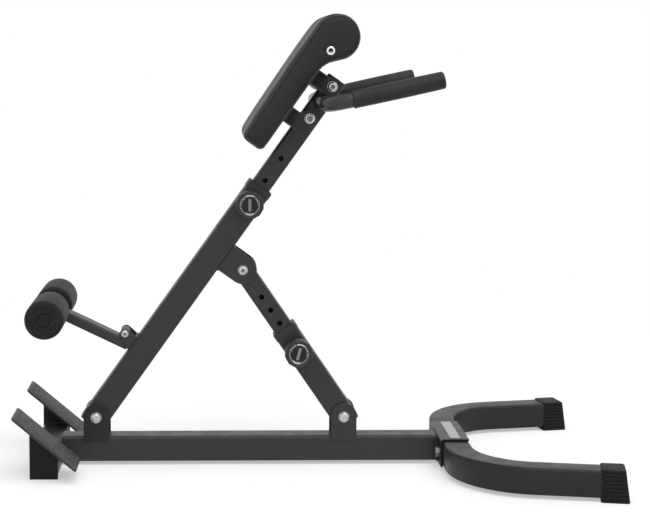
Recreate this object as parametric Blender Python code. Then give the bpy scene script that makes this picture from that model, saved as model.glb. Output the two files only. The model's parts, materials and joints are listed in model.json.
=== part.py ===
"""Hyperextension bench: split thigh pads on a sliding post, a tilting arm propped by a
telescopic strut, ankle rollers on a folding arm, and footplates on a floor frame.

Metres. +X is forward, +Y is the bench's left and +Z is up. The origin is on the floor
under the middle of the bench. Pieces of the tilting arm are modelled in the arm's own
frame, with +X along its tube and +Z to its rear, and pieces of the strut in the
strut's, with +X from its lower pivot to its upper one."""

import math

import bmesh
import bpy
from mathutils import Vector

# Clearances
GAP = 0.0003
BOLT_CLEARANCE = 0.0004
SLIDE_CLEARANCE = 0.0006

# Square tubes
FRAME_TUBE = 0.0508
FRAME_WALL = 0.0025
STRUT_TUBE = 0.048
STRUT_WALL = 0.002
INNER_TUBE = 0.0385
INNER_WALL = 0.002
TUBE_CORNER = 0.0045
INNER_CORNER = 0.0035
FLOOR_CLEARANCE = 0.0075

# Base beam and rear crossbar
BEAM_LENGTH = 0.7428
CROSSBAR_LENGTH = 0.2514
END_PLATE_WIDTH = 0.054
END_PLATE_THICKNESS = 0.005

# Footplates
FOOTPLATE_LENGTH = 0.1585
FOOTPLATE_WIDTH = 0.100
FOOTPLATE_THICKNESS = 0.003
FOOTPLATE_CORNER = 0.006
FOOTPLATE_ANGLE = math.radians(40.1)
FOOTPLATE_HEEL_HEIGHT = 0.1298
HEEL_OVERHANG = 0.0275

# Front bracket and front U tube
BRACKET_THICKNESS = 0.004
BRACKET_HALF_WIDTH = 0.078
BRACKET_BOLT_SPREAD = 0.056
FRONT_STRAIGHT = 0.228
FRONT_BEND_RADIUS = 0.145
FRONT_FLARE = math.radians(10.5)
FRONT_LEG = 0.1557

# Rubber end caps
CAP_WALL = 0.0022
CAP_GRIP_LENGTH = 0.0390
CAP_TOP_NOSE = 0.005
CAP_BOTTOM_NOSE = 0.013
CAP_RIB_PITCH = 0.0070
CAP_RIB_DEPTH = 0.0011
CAP_RIBS = 7

# Pivot ears
EAR_THICKNESS = 0.004
EAR_WIDTH = 0.0502
EAR_CROWN = 0.003
EAR_PIVOT_HEIGHT = 0.0381
EAR_SKIRT = 0.010
PLATE_BEVEL = 0.0008

# Bolts and nuts: shank radius, head radius and head height
PIVOT_BOLT = (0.006, 0.0107, 0.0065)
BRACKET_BOLT = (0.005, 0.0098, 0.0075)
PAD_BOLT = (0.005, 0.0105, 0.0065)
ROLLER_BOLT = (0.004, 0.0074, 0.0050)
NUT_HEIGHT_RATIO = 1.5
NUT_CORNER_RATIO = 1.85
SHANK_OVERHANG = 0.0015

# Main arm
MAIN_PIVOT_SETBACK = 0.0937
PIVOT_SPACING = 0.4896
ARM_ANGLE = math.radians(54.45)
MAIN_TUBE_LENGTH = 0.5627
TUBE_END_OVERHANG = 0.017
COLLAR_LIP_LENGTH = 0.0155
COLLAR_LIP_PROUD = 0.001
COLLAR_SLEEVE_LENGTH = 0.018
COLLAR_PEG_FROM_END = 0.0082
COLLAR_PEG_RADIUS = 0.003

# Strut's upper pivot on the arm, and the strut
TOP_PIVOT_ALONG = 0.4067
TOP_PIVOT_OFFSET = 0.0665
TOP_PIVOT_PLAY = 0.0040
TOP_BRACKET_WIDTH = 0.0555
STRUT_OUTER_LENGTH = 0.2128
STRUT_PIN_FROM_END = 0.0343
STRUT_HOLE_PITCH = 0.0316
STRUT_HOLES_UP = 4
STRUT_HOLES_DOWN = 1
STRUT_HOLE_MARGIN = 0.016

# Post
POST_PIN_FROM_END = 0.0237
POST_HOLE_PITCH = 0.0535
POST_HOLES_EACH_WAY = 2
POST_TOP_ALONG = 0.8195
POST_LENGTH = 0.460
POST_CAP_THICKNESS = 0.0025
POST_CAP_DEPTH = 0.008
PIN_HOLE_RADIUS = 0.0054

# Pull pins
PLUNGER_RADIUS = 0.0048
BARREL_RADIUS = 0.0115
BARREL_LENGTH = 0.022
KNOB_RADIUS = 0.0277
KNOB_THICKNESS = 0.024
KNOB_FACE_RADIUS = 0.0215
KNOB_FACE_RECESS = 0.0012
KNOB_LOBES = 12
KNOB_LOBE_DEPTH = 0.0009

# Pads, seen from the side in the arm's frame: distance along the arm and to its rear
PAD_BOTTOM_ALONG = 0.6207
PAD_BOTTOM_BACK = 0.0440
PAD_BACK_TOP = 0.0450
PAD_BOTTOM_FRONT = 0.0935
PAD_ROLL_ALONG = 0.8806
PAD_ROLL_OFFSET = 0.0542
PAD_ROLL_RADIUS = 0.0450
PAD_FILLET_RADIUS = 0.055
PAD_FRONT_CORNER = 0.012
PAD_BACK_CORNER = 0.010
PAD_EDGE_RADIUS = 0.009
PAD_INNER_HALF = 0.011
PAD_WIDTH = 0.114
BOARD_THICKNESS = 0.012
BOARD_INSET = 0.014
EYELET_ALONG = 0.8521
EYELET_OFFSET = 0.0490
EYELET_RADIUS = 0.0090
EYELET_HOLE = 0.0045
EYELET_DEPTH = 0.006
EYELET_LIP = 0.0015

# Pad brackets: place of the bolt, and the stretch of pad back that the channel covers
UPPER_BRACKET_BOLT = 0.8014
UPPER_BRACKET_FROM = 0.779
UPPER_BRACKET_TO = 0.811
LOWER_BRACKET_BOLT = 0.7253
LOWER_BRACKET_FROM = 0.6915
LOWER_BRACKET_TO = 0.7245
PAD_BRACKET_NOSE = 0.0185
PAD_CHANNEL_HALF = 0.100
PAD_CHANNEL_WALL = 0.003
WELD_STEP = 0.0005

# Handle frame
HANDLE_ALONG = 0.765
HANDLE_RADIUS = 0.014
HANDLE_WALL = 0.002
HANDLE_HALF_SPREAD = 0.226
HANDLE_BEND_RADIUS = 0.045
HANDLE_REACH = 0.2125
HANDLE_TILT = math.radians(12.2)
GRIP_RADIUS = 0.0165
GRIP_LENGTH = 0.172
GRIP_END = 0.004

# Roller arm
ROLLER_PIVOT_ALONG = 0.1694
ROLLER_PIVOT_OFFSET = 0.0499
ROLLER_ALONG = 0.1241
ROLLER_OFFSET = 0.1967
ROLLER_ARM_FOOT = 0.1530
ROLLER_ARM_HEIGHT = 0.020
ROLLER_ARM_WIDTH = 0.040
ROLLER_ARM_WALL = 0.002
ROLLER_BRACKET_FROM = 0.147
ROLLER_BRACKET_TO = 0.1765
ROLLER_EAR_NOSE = 0.010
LUG_NOSE = 0.009
LUG_WIDTH = 0.039
LUG_HEEL = 0.0026
LUG_FOOT = 0.0238
AXLE_RADIUS = 0.0125
AXLE_END_INSET = 0.003
AXLE_COLLAR_RADIUS = 0.017
AXLE_COLLAR_WIDTH = 0.004
ROLLER_RADIUS = 0.0375
ROLLER_INNER_END = 0.027
ROLLER_LENGTH = 0.131
ROLLER_EDGE = 0.007

# Facets
ROUND = 20
BOLT_ROUND = 16
ROLLER_ROUND = 28
CORNER_STEPS = 2
BEND_STEPS = 10
HANDLE_BEND_STEPS = 6

# Places worked out from the sizes above
half_tube = FRAME_TUBE / 2
half_inner = INNER_TUBE / 2
beam_axis_height = FLOOR_CLEARANCE + half_tube
beam_top = FLOOR_CLEARANCE + FRAME_TUBE
flare_turn = math.pi / 2 - FRONT_FLARE
u_depth = half_tube + FRONT_BEND_RADIUS * (1 - math.cos(flare_turn)) + FRONT_LEG * math.cos(FRONT_FLARE)
cap_half = half_tube + GAP + CAP_WALL
front_reach = u_depth + CAP_BOTTOM_NOSE * math.cos(FRONT_FLARE) + cap_half * math.sin(FRONT_FLARE)
crossbar_from_heel = HEEL_OVERHANG + END_PLATE_WIDTH / 2
heel_edge = FOOTPLATE_THICKNESS * math.sin(FOOTPLATE_ANGLE)
overall_length = (heel_edge + crossbar_from_heel + half_tube + GAP + BEAM_LENGTH + GAP
                  + BRACKET_THICKNESS + GAP + front_reach)
heel_x = -overall_length / 2 + heel_edge
crossbar_x = heel_x + crossbar_from_heel
beam_rear_x = crossbar_x + half_tube + GAP
beam_front_x = beam_rear_x + BEAM_LENGTH
bracket_x = beam_front_x + GAP
u_rear_x = bracket_x + BRACKET_THICKNESS + GAP
footplate_y = CROSSBAR_LENGTH / 2 + GAP + END_PLATE_THICKNESS / 2
pivot_height = beam_top + EAR_PIVOT_HEIGHT
main_pivot = Vector((crossbar_x + MAIN_PIVOT_SETBACK, 0.0, pivot_height))
strut_pivot = Vector((main_pivot.x + PIVOT_SPACING, 0.0, pivot_height))
ear_inner = half_tube + GAP
bracket_ear_inner = half_tube - EAR_THICKNESS
roller_ear_inner = ROLLER_ARM_WIDTH / 2 + SLIDE_CLEARANCE
plunger_bore = PLUNGER_RADIUS + BOLT_CLEARANCE
main_tube_end = MAIN_TUBE_LENGTH - TUBE_END_OVERHANG
post_pin_along = main_tube_end - POST_PIN_FROM_END
strut_tube_end = STRUT_OUTER_LENGTH - TUBE_END_OVERHANG
strut_pin_along = strut_tube_end - STRUT_PIN_FROM_END
hollow_reach = PAD_ROLL_RADIUS + PAD_FILLET_RADIUS
hollow_offset = PAD_BACK_TOP - PAD_FILLET_RADIUS
hollow_turn = math.asin((PAD_ROLL_OFFSET - hollow_offset) / hollow_reach)
hollow_along = PAD_ROLL_ALONG - hollow_reach * math.cos(hollow_turn)


def arm_point(along, rear):
    """World place of a point given along the arm's tube and to its rear."""
    turned = Vector((along * math.cos(ARM_ANGLE) - rear * math.sin(ARM_ANGLE), 0.0,
                     along * math.sin(ARM_ANGLE) + rear * math.cos(ARM_ANGLE)))
    return main_pivot + turned


top_pivot = arm_point(TOP_PIVOT_ALONG, -TOP_PIVOT_OFFSET)
strut_line = top_pivot - strut_pivot
strut_length = strut_line.length
strut_angle = math.atan2(strut_line.z, strut_line.x)


def material(name, colour, roughness, metallic=0.0):
    """A plain Principled material."""
    made = bpy.data.materials.new(name)
    made.use_nodes = True
    shader = made.node_tree.nodes["Principled BSDF"]
    shader.inputs["Base Color"].default_value = (*colour, 1.0)
    shader.inputs["Roughness"].default_value = roughness
    shader.inputs["Metallic"].default_value = metallic
    return made


def add(name, mesh_data, looks, frame=None, smooth=True):
    """Turns a bmesh into a named object in a frame."""
    bmesh.ops.recalc_face_normals(mesh_data, faces=mesh_data.faces)
    mesh = bpy.data.meshes.new(name)
    mesh_data.to_mesh(mesh)
    mesh_data.free()
    if smooth:
        mesh.shade_smooth()
        mesh.set_sharp_from_angle(angle=math.radians(32))
    mesh.materials.append(looks)
    made = bpy.data.objects.new(name, mesh)
    bpy.context.scene.collection.objects.link(made)
    made.parent = frame
    return made


def frame_at(name, place, angle=0.0, parent=None):
    """An empty that carries a moving body's pieces, turned about Y."""
    made = bpy.data.objects.new(name, None)
    bpy.context.scene.collection.objects.link(made)
    made.location = place
    made.rotation_euler = (0.0, -angle, 0.0)
    made.parent = parent
    return made


def combine(target, other, operation):
    """Cuts the other object out of the target, or joins it on, and hides it."""
    other.hide_render = True
    other.display_type = "WIRE"
    change = target.modifiers.new(other.name, "BOOLEAN")
    change.operation = operation
    change.solver = "EXACT"
    change.object = other


def bevel(target, width, segments=1):
    """Rounds the sharp edges of a piece."""
    change = target.modifiers.new("rounded_edges", "BEVEL")
    change.width = width
    change.segments = segments
    change.limit_method = "ANGLE"
    change.angle_limit = math.radians(40)


def ring_faces(mesh_data, first, second):
    """Joins two rings of vertices, of one size, with quads."""
    count = len(first)
    for index in range(count):
        following = (index + 1) % count
        mesh_data.faces.new((first[index], first[following], second[following], second[index]))


def rounded_rectangle(width, height, radius, steps=CORNER_STEPS):
    """Outline of a rectangle with round corners, centred on zero."""
    outline = []
    for quarter, (side, up) in enumerate(((1, 1), (-1, 1), (-1, -1), (1, -1))):
        for step in range(steps + 1):
            angle = (quarter + step / steps) * math.pi / 2
            outline.append((side * (width / 2 - radius) + radius * math.cos(angle),
                            up * (height / 2 - radius) + radius * math.sin(angle)))
    return outline


def circle(radius, count=ROUND, phase=0.0):
    """Points of a circle."""
    return [(radius * math.cos(phase + 2 * math.pi * index / count),
             radius * math.sin(phase + 2 * math.pi * index / count)) for index in range(count)]


def arc(centre, radius, start, end, steps):
    """Points of an arc, from a start angle to an end angle in degrees."""
    return [(centre[0] + radius * math.cos(math.radians(start + (end - start) * step / steps)),
             centre[1] + radius * math.sin(math.radians(start + (end - start) * step / steps)))
            for step in range(steps + 1)]


def swept(path, up, outer, inner=None):
    """A bar, or a tube where an inner outline is given, along a path in one plane."""
    mesh_data = bmesh.new()
    skins = []
    for outline in (outer, inner):
        if outline is None:
            continue
        rings = []
        for index, place in enumerate(path):
            before = path[max(index - 1, 0)]
            after = path[min(index + 1, len(path) - 1)]
            side = up.cross((after - before).normalized()).normalized()
            rings.append([mesh_data.verts.new(place + side * across + up * high)
                          for across, high in outline])
        for first, second in zip(rings, rings[1:]):
            ring_faces(mesh_data, first, second)
        skins.append(rings)
    for end in (0, -1):
        if inner is None:
            mesh_data.faces.new(skins[0][end])
        else:
            ring_faces(mesh_data, skins[0][end], skins[1][end])
    return mesh_data


def square_tube(name, start, end, size, wall, corner, looks, frame=None):
    """A straight square tube along the frame's X, open at both ends."""
    outer = rounded_rectangle(size, size, corner)
    inner = rounded_rectangle(size - 2 * wall, size - 2 * wall, corner - wall / 2)
    path = [Vector((start, 0.0, 0.0)), Vector((end, 0.0, 0.0))]
    return add(name, swept(path, Vector((0.0, 0.0, 1.0)), outer, inner), looks, frame)


def plate(name, outline, y_from, y_to, looks, frame=None):
    """A flat piece with an outline in the frame's XZ plane, between two Y values."""
    mesh_data = bmesh.new()
    sides = [[mesh_data.verts.new((x, y, z)) for x, z in outline] for y in (y_from, y_to)]
    ring_faces(mesh_data, sides[0], sides[1])
    mesh_data.faces.new(sides[0])
    mesh_data.faces.new(sides[1])
    return add(name, mesh_data, looks, frame)


def turned(name, profile, looks, frame=None, place=(0.0, 0.0, 0.0), count=ROUND, closed=False):
    """A piece turned about a line along Y through a place; the profile is (y, radius)."""
    mesh_data = bmesh.new()
    rings = []
    for y, radius in profile:
        if radius == 0.0:
            rings.append([mesh_data.verts.new((0.0, y, 0.0))])
        else:
            rings.append([mesh_data.verts.new((x, y, z)) for x, z in circle(radius, count)])
    pairs = list(zip(rings, rings[1:]))
    if closed:
        pairs.append((rings[-1], rings[0]))
    for first, second in pairs:
        if len(first) == 1 or len(second) == 1:
            tip, rim = (first[0], second) if len(first) == 1 else (second[0], first)
            for index in range(count):
                mesh_data.faces.new((tip, rim[index], rim[(index + 1) % count]))
        else:
            ring_faces(mesh_data, first, second)
    made = add(name, mesh_data, looks, frame)
    made.location = place
    return made


def drill(target, holes, frame=None, count=BOLT_ROUND):
    """Drills round holes along Y; each is (along, height, radius, from y, to y)."""
    mesh_data = bmesh.new()
    for along, height, radius, y_from, y_to in holes:
        ends = [[mesh_data.verts.new((along + x, y, height + z)) for x, z in circle(radius, count)]
                for y in (y_from, y_to)]
        ring_faces(mesh_data, ends[0], ends[1])
        mesh_data.faces.new(ends[0])
        mesh_data.faces.new(ends[1])
    combine(target, add(target.name + "_drill", mesh_data, steel, frame), "DIFFERENCE")


def through(along, height, radius):
    """A hole right through a piece that is no wider than the frame's tubes and their ears."""
    return (along, height, radius, -FRAME_TUBE, FRAME_TUBE)


def hexagon_piece(name, radius, y_from, y_to, looks, frame, place, bore=None):
    """A hexagon nut or head, with the corners on a circle."""
    mesh_data = bmesh.new()
    outer = [[mesh_data.verts.new((x, y, z)) for x, z in circle(radius, 6)] for y in (y_from, y_to)]
    ring_faces(mesh_data, outer[0], outer[1])
    mesh_data.faces.new(outer[0])
    mesh_data.faces.new(outer[1])
    made = add(name, mesh_data, looks, frame, smooth=False)
    made.location = place
    if bore:
        drill(made, [(place[0], place[2], bore, y_from - radius, y_to + radius)], frame)
    return made


def button_bolt(name, sizes, half_grip, frame, place):
    """A bolt along Y with a domed socket head on the right side."""
    shank, head, height = sizes
    socket = shank * 0.55
    seat = -half_grip - GAP
    tip = half_grip + GAP + NUT_HEIGHT_RATIO * shank + SHANK_OVERHANG
    profile = [(seat - height * 0.45, 0.0), (seat - height * 0.45, socket), (seat - height, socket),
               (seat - height, head * 0.62), (seat - height * 0.45, head), (seat, head), (seat, shank),
               (tip, shank), (tip, 0.0)]
    return turned(name, profile, steel, frame, place, BOLT_ROUND)


def nut(name, sizes, half_grip, frame, place):
    """The nut on the left end of a bolt."""
    shank = sizes[0]
    seat = half_grip + GAP
    return hexagon_piece(name, shank * NUT_CORNER_RATIO, seat, seat + NUT_HEIGHT_RATIO * shank, steel, frame,
                         place, shank + GAP)


def bolt_and_nut(name, sizes, half_grip, frame, place):
    """A through bolt with its nut."""
    button_bolt(name + "_bolt", sizes, half_grip, frame, place)
    nut(name + "_nut", sizes, half_grip, frame, place)


for old in list(bpy.data.objects):
    bpy.data.objects.remove(old)

powder_coat = material("black_powder_coat", (0.022, 0.022, 0.024), 0.42)
steel = material("bright_steel", (0.62, 0.62, 0.63), 0.28, 1.0)
chrome = material("chrome", (0.80, 0.80, 0.81), 0.12, 1.0)
rubber = material("black_rubber", (0.012, 0.012, 0.013), 0.75)
plastic = material("black_plastic", (0.016, 0.016, 0.018), 0.5)
foam = material("black_foam", (0.014, 0.014, 0.015), 0.85)
leather = material("black_leatherette", (0.020, 0.020, 0.021), 0.5)
plywood = material("plywood", (0.42, 0.29, 0.16), 0.7)
tread = material("grey_tread", (0.11, 0.11, 0.115), 0.7)


def base_tubes():
    """Beam and rear crossbar."""
    beam = square_tube("base_beam", beam_rear_x, beam_front_x, FRAME_TUBE, FRAME_WALL, TUBE_CORNER,
                       powder_coat)
    beam.location.z = beam_axis_height
    outer = rounded_rectangle(FRAME_TUBE, FRAME_TUBE, TUBE_CORNER)
    bore = FRAME_TUBE - 2 * FRAME_WALL
    inner = rounded_rectangle(bore, bore, TUBE_CORNER - FRAME_WALL / 2)
    path = [Vector((crossbar_x, side * CROSSBAR_LENGTH / 2, half_tube)) for side in (-1, 1)]
    add("rear_crossbar", swept(path, Vector((0.0, 0.0, 1.0)), outer, inner), powder_coat)
    for name, x in (("main_pivot", main_pivot.x), ("strut", strut_pivot.x)):
        for side, label in ((-1, "right"), (1, "left")):
            inner_face = side * ear_inner
            outer_face = side * (ear_inner + EAR_THICKNESS)
            ear = pivot_ear(name + "_ear_" + label, x, inner_face, outer_face)
            drill(ear, [through(x, pivot_height, PIVOT_BOLT[0] + BOLT_CLEARANCE)])
        bolt_and_nut(name + "_lower" if name == "strut" else name, PIVOT_BOLT,
                     ear_inner + EAR_THICKNESS, None, (x, 0.0, pivot_height))


def pivot_ear(name, x, y_from, y_to):
    """An upright ear with a round top, welded to the beam's side."""
    half = EAR_WIDTH / 2
    foot = beam_top - EAR_SKIRT
    outline = [(x - half, foot), (x + half, foot)]
    outline += arc((x, pivot_height + EAR_CROWN), half, 0, 180, 16)
    ear = plate(name, outline, min(y_from, y_to), max(y_from, y_to), powder_coat)
    bevel(ear, PLATE_BEVEL)
    return ear


def footplate_under(x):
    """Height of the footplate's under side at an X."""
    return (FOOTPLATE_HEEL_HEIGHT - (x - heel_x) * math.tan(FOOTPLATE_ANGLE)
            - FOOTPLATE_THICKNESS / math.cos(FOOTPLATE_ANGLE))


def footplates():
    """End plates of the crossbar, cut to the slope, with the footplates on them."""
    rear = crossbar_x - END_PLATE_WIDTH / 2
    front = crossbar_x + END_PLATE_WIDTH / 2
    clear = GAP / math.cos(FOOTPLATE_ANGLE)
    outline = [(rear, 0.0), (front, 0.0), (front, footplate_under(front) - clear),
               (rear, footplate_under(rear) - clear)]
    for side, label in ((-1, "right"), (1, "left")):
        inner = side * (CROSSBAR_LENGTH / 2 + GAP)
        outer = inner + side * END_PLATE_THICKNESS
        upright = plate("rear_end_plate_" + label, outline, min(inner, outer), max(inner, outer),
                        powder_coat)
        bevel(upright, PLATE_BEVEL)
        slab = rounded_rectangle(FOOTPLATE_LENGTH, FOOTPLATE_WIDTH, FOOTPLATE_CORNER)
        middle = FOOTPLATE_LENGTH / 2
        mesh_data = bmesh.new()
        rings = [[mesh_data.verts.new((middle + x, y, z)) for x, y in slab]
                 for z in (-FOOTPLATE_THICKNESS, 0.0)]
        ring_faces(mesh_data, rings[0], rings[1])
        mesh_data.faces.new(rings[0])
        mesh_data.faces.new(rings[1])
        step = add("footplate_" + label, mesh_data, tread)
        step.location = (heel_x, side * footplate_y, FOOTPLATE_HEEL_HEIGHT)
        step.rotation_euler = (0.0, FOOTPLATE_ANGLE, 0.0)
        bevel(step, PLATE_BEVEL)


def u_path():
    """Centre line of the front U, from the right leg's end to the left leg's."""
    half = FRONT_STRAIGHT / 2
    turn = math.degrees(flare_turn)
    centre = (u_rear_x + half_tube + FRONT_BEND_RADIUS, half)
    bend = arc(centre, FRONT_BEND_RADIUS, 180, 180 - turn, BEND_STEPS)
    end = (bend[-1][0] + FRONT_LEG * math.cos(FRONT_FLARE), bend[-1][1] + FRONT_LEG * math.sin(FRONT_FLARE))
    left = bend + [end]
    right = [(x, -y) for x, y in reversed(left)]
    return [Vector((x, y, beam_axis_height)) for x, y in right + left]


def front_base():
    """Front U tube, the bracket that hooks over it, bolts and rubber end caps."""
    outer = rounded_rectangle(FRAME_TUBE, FRAME_TUBE, TUBE_CORNER)
    bore = FRAME_TUBE - 2 * FRAME_WALL
    inner = rounded_rectangle(bore, bore, TUBE_CORNER - FRAME_WALL / 2)
    path = u_path()
    u_tube = add("front_u_tube", swept(path, Vector((0.0, 0.0, 1.0)), outer, inner), powder_coat)
    top = beam_top + GAP
    inner_edge = u_rear_x + FRAME_TUBE
    outline = [(bracket_x, FLOOR_CLEARANCE), (bracket_x + BRACKET_THICKNESS, FLOOR_CLEARANCE),
               (bracket_x + BRACKET_THICKNESS, top), (inner_edge, top),
               (inner_edge, top + BRACKET_THICKNESS), (bracket_x, top + BRACKET_THICKNESS)]
    bracket = plate("front_bracket", outline, -BRACKET_HALF_WIDTH, BRACKET_HALF_WIDTH, powder_coat)
    bevel(bracket, PLATE_BEVEL * 1.5, 2)
    shank, head, height = BRACKET_BOLT
    hole = shank + BOLT_CLEARANCE
    far_face = u_rear_x + FRAME_TUBE
    for side, label in ((-1, "right"), (1, "left")):
        place = Vector((bracket_x, side * BRACKET_BOLT_SPREAD, beam_axis_height))
        quarter_turn = frame_at("front_bolt_line_" + label, place)
        quarter_turn.rotation_euler = (0.0, 0.0, -math.pi / 2)
        long_way = far_face - bracket_x
        for target in (bracket, u_tube):
            drill(target, [(0.0, 0.0, hole, -FRAME_TUBE, long_way + FRAME_TUBE)], quarter_turn)
        hexagon_head_bolt("front_bolt_" + label, BRACKET_BOLT, long_way, quarter_turn)
        seat = long_way + GAP
        hexagon_piece("front_nut_" + label, shank * NUT_CORNER_RATIO, seat,
                      seat + NUT_HEIGHT_RATIO * shank, steel, quarter_turn, (0.0, 0.0, 0.0), shank + GAP)
        end_cap("end_cap_" + label, path[0 if side < 0 else -1], side)


def hexagon_head_bolt(name, sizes, grip, frame):
    """A bolt along Y whose hexagon head is under zero and whose shank passes the grip."""
    shank, head, height = sizes
    tip = grip + GAP + NUT_HEIGHT_RATIO * shank + SHANK_OVERHANG
    overlap = height / 2
    bolt = turned(name, [(-overlap, 0.0), (-overlap, shank), (tip, shank), (tip, 0.0)], steel, frame,
                  count=BOLT_ROUND)
    hexagon = hexagon_piece(name + "_head", head, -GAP - height, -GAP, steel, frame, (0.0, 0.0, 0.0))
    combine(bolt, hexagon, "UNION")


def end_cap(name, tube_end, side):
    """A ribbed rubber foot over a leg's end, with a nose that slopes out to the floor."""
    frame = frame_at(name + "_line", (tube_end.x, tube_end.y, 0.0))
    frame.rotation_euler = (0.0, 0.0, side * FRONT_FLARE)
    top = beam_top + GAP + CAP_WALL
    ribs_from = (top - CAP_RIBS * CAP_RIB_PITCH) / 2
    levels = [(0.0, 0.0015), (0.0015, 0.0)]
    for rib in range(CAP_RIBS + 1):
        groove = ribs_from + rib * CAP_RIB_PITCH
        levels += [(groove - 0.0018, 0.0), (groove - 0.0006, CAP_RIB_DEPTH),
                   (groove + 0.0006, CAP_RIB_DEPTH), (groove + 0.0018, 0.0)]
    levels += [(top - 0.0015, 0.0), (top, 0.0015)]
    mesh_data = bmesh.new()
    rings = []
    for height, inset in levels:
        nose = CAP_BOTTOM_NOSE + (CAP_TOP_NOSE - CAP_BOTTOM_NOSE) * height / top - inset
        tail = -CAP_GRIP_LENGTH
        half = cap_half - inset
        outline = rounded_rectangle(nose - tail, 2 * half, TUBE_CORNER, 2)
        middle = (nose + tail) / 2
        rings.append([mesh_data.verts.new((middle + x, y, height)) for x, y in outline])
    for first, second in zip(rings, rings[1:]):
        ring_faces(mesh_data, first, second)
    mesh_data.faces.new(rings[0])
    mesh_data.faces.new(rings[-1])
    cap = add(name, mesh_data, rubber, frame)
    hollow = rounded_rectangle(FRAME_TUBE + 2 * GAP, FRAME_TUBE + 2 * GAP, TUBE_CORNER)
    path = [Vector((-CAP_GRIP_LENGTH - CAP_WALL, 0.0, beam_axis_height)),
            Vector((GAP, 0.0, beam_axis_height))]
    core = add(name + "_core", swept(path, Vector((0.0, 0.0, 1.0)), hollow), rubber, frame)
    combine(cap, core, "DIFFERENCE")


def collar(name, tube_end, size, wall, frame):
    """A plastic sleeve in a tube's end, with a lip, for the inner tube to slide in."""
    lip = size + 2 * COLLAR_LIP_PROUD
    slot = INNER_TUBE + 2 * SLIDE_CLEARANCE
    sleeve = size - 2 * wall - 2 * GAP
    up = Vector((0.0, 0.0, 1.0))
    bore = rounded_rectangle(slot, slot, INNER_CORNER)
    mesh_data = bmesh.new()
    stations = [(tube_end - COLLAR_SLEEVE_LENGTH, rounded_rectangle(sleeve, sleeve, INNER_CORNER)),
                (tube_end + GAP, rounded_rectangle(sleeve, sleeve, INNER_CORNER)),
                (tube_end + GAP, rounded_rectangle(lip, lip, TUBE_CORNER)),
                (tube_end + COLLAR_LIP_LENGTH - 0.0015, rounded_rectangle(lip, lip, TUBE_CORNER)),
                (tube_end + COLLAR_LIP_LENGTH, rounded_rectangle(lip - 0.003, lip - 0.003, INNER_CORNER)),
                (tube_end + COLLAR_LIP_LENGTH, bore), (tube_end - COLLAR_SLEEVE_LENGTH, bore)]
    rings = [[mesh_data.verts.new(Vector((x, across, 0.0)) + up * high) for across, high in outline]
             for x, outline in stations]
    for first, second in zip(rings, rings[1:] + rings[:1]):
        ring_faces(mesh_data, first, second)
    return add(name, mesh_data, plastic, frame)


def pull_pin(name, along, half_outer, frame):
    """Barrel on the tube's right side, with the plunger and knob on a frame of their own."""
    seat = -half_outer - GAP
    barrel_end = seat - BARREL_LENGTH
    turned(name + "_barrel",
           [(seat, plunger_bore), (seat, BARREL_RADIUS), (barrel_end + 0.001, BARREL_RADIUS),
            (barrel_end, BARREL_RADIUS - 0.001), (barrel_end, plunger_bore)],
           powder_coat, frame, (along, 0.0, 0.0), closed=True)
    slider = frame_at(name + "_slide", (along, 0.0, 0.0), parent=frame)
    tip = -half_inner - GAP
    knob_inner = barrel_end - GAP
    knob_outer = knob_inner - KNOB_THICKNESS
    shaft_end = knob_inner - KNOB_THICKNESS / 2
    turned(name + "_plunger", [(shaft_end, 0.0), (shaft_end, PLUNGER_RADIUS), (tip, PLUNGER_RADIUS),
                               (tip, 0.0)], steel, slider, count=BOLT_ROUND)
    knob = lobed_knob(name + "_knob", knob_inner, knob_outer, slider)
    drill(knob, [(0.0, 0.0, PLUNGER_RADIUS + GAP, shaft_end - GAP, knob_inner + PLUNGER_RADIUS)], slider)


def lobed_knob(name, y_inner, y_outer, frame):
    """A round grip knob with a finely lobed rim and a shallow face recess."""
    count = 3 * KNOB_LOBES
    thickness = y_inner - y_outer
    levels = [(y_inner, 0.86, 0.0), (y_inner - 0.10 * thickness, 0.95, 1.0),
              (y_inner - 0.30 * thickness, 1.0, 1.0), (y_inner - 0.80 * thickness, 1.0, 1.0),
              (y_outer, 0.92, 0.0)]
    mesh_data = bmesh.new()
    rings = []
    for y, share, lobes in levels:
        ring = []
        for index in range(count):
            angle = 2 * math.pi * index / count
            dip = KNOB_LOBE_DEPTH * lobes * (1 - math.cos(KNOB_LOBES * angle)) / 1.5
            radius = KNOB_RADIUS * share - dip
            ring.append(mesh_data.verts.new((radius * math.cos(angle), y, radius * math.sin(angle))))
        rings.append(ring)
    for y in (y_outer, y_outer + KNOB_FACE_RECESS):
        rings.append([mesh_data.verts.new((x, y, z)) for x, z in circle(KNOB_FACE_RADIUS, count)])
    for first, second in zip(rings, rings[1:]):
        ring_faces(mesh_data, first, second)
    mesh_data.faces.new(rings[0])
    mesh_data.faces.new(rings[-1])
    return add(name, mesh_data, plastic, frame)


def right_hole(along, radius):
    """A hole in a tube's right wall only."""
    return (along, 0.0, radius, -FRAME_TUBE, -half_inner / 2)


def main_arm(frame):
    """Main tube with its collar, pin barrel and the brackets of the strut and rollers."""
    tube = square_tube("main_tube", -TUBE_END_OVERHANG, main_tube_end, FRAME_TUBE, FRAME_WALL,
                       TUBE_CORNER, powder_coat, frame)
    drill(tube, [through(0.0, 0.0, PIVOT_BOLT[0] + BOLT_CLEARANCE),
                 right_hole(post_pin_along, plunger_bore),
                 right_hole(main_tube_end - COLLAR_PEG_FROM_END, COLLAR_PEG_RADIUS)], frame)
    collar("main_collar", main_tube_end, FRAME_TUBE, FRAME_WALL, frame)
    pull_pin("post_pin", post_pin_along, half_tube, frame)
    strut_top_bracket(frame)
    roller_bracket(frame)


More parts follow.
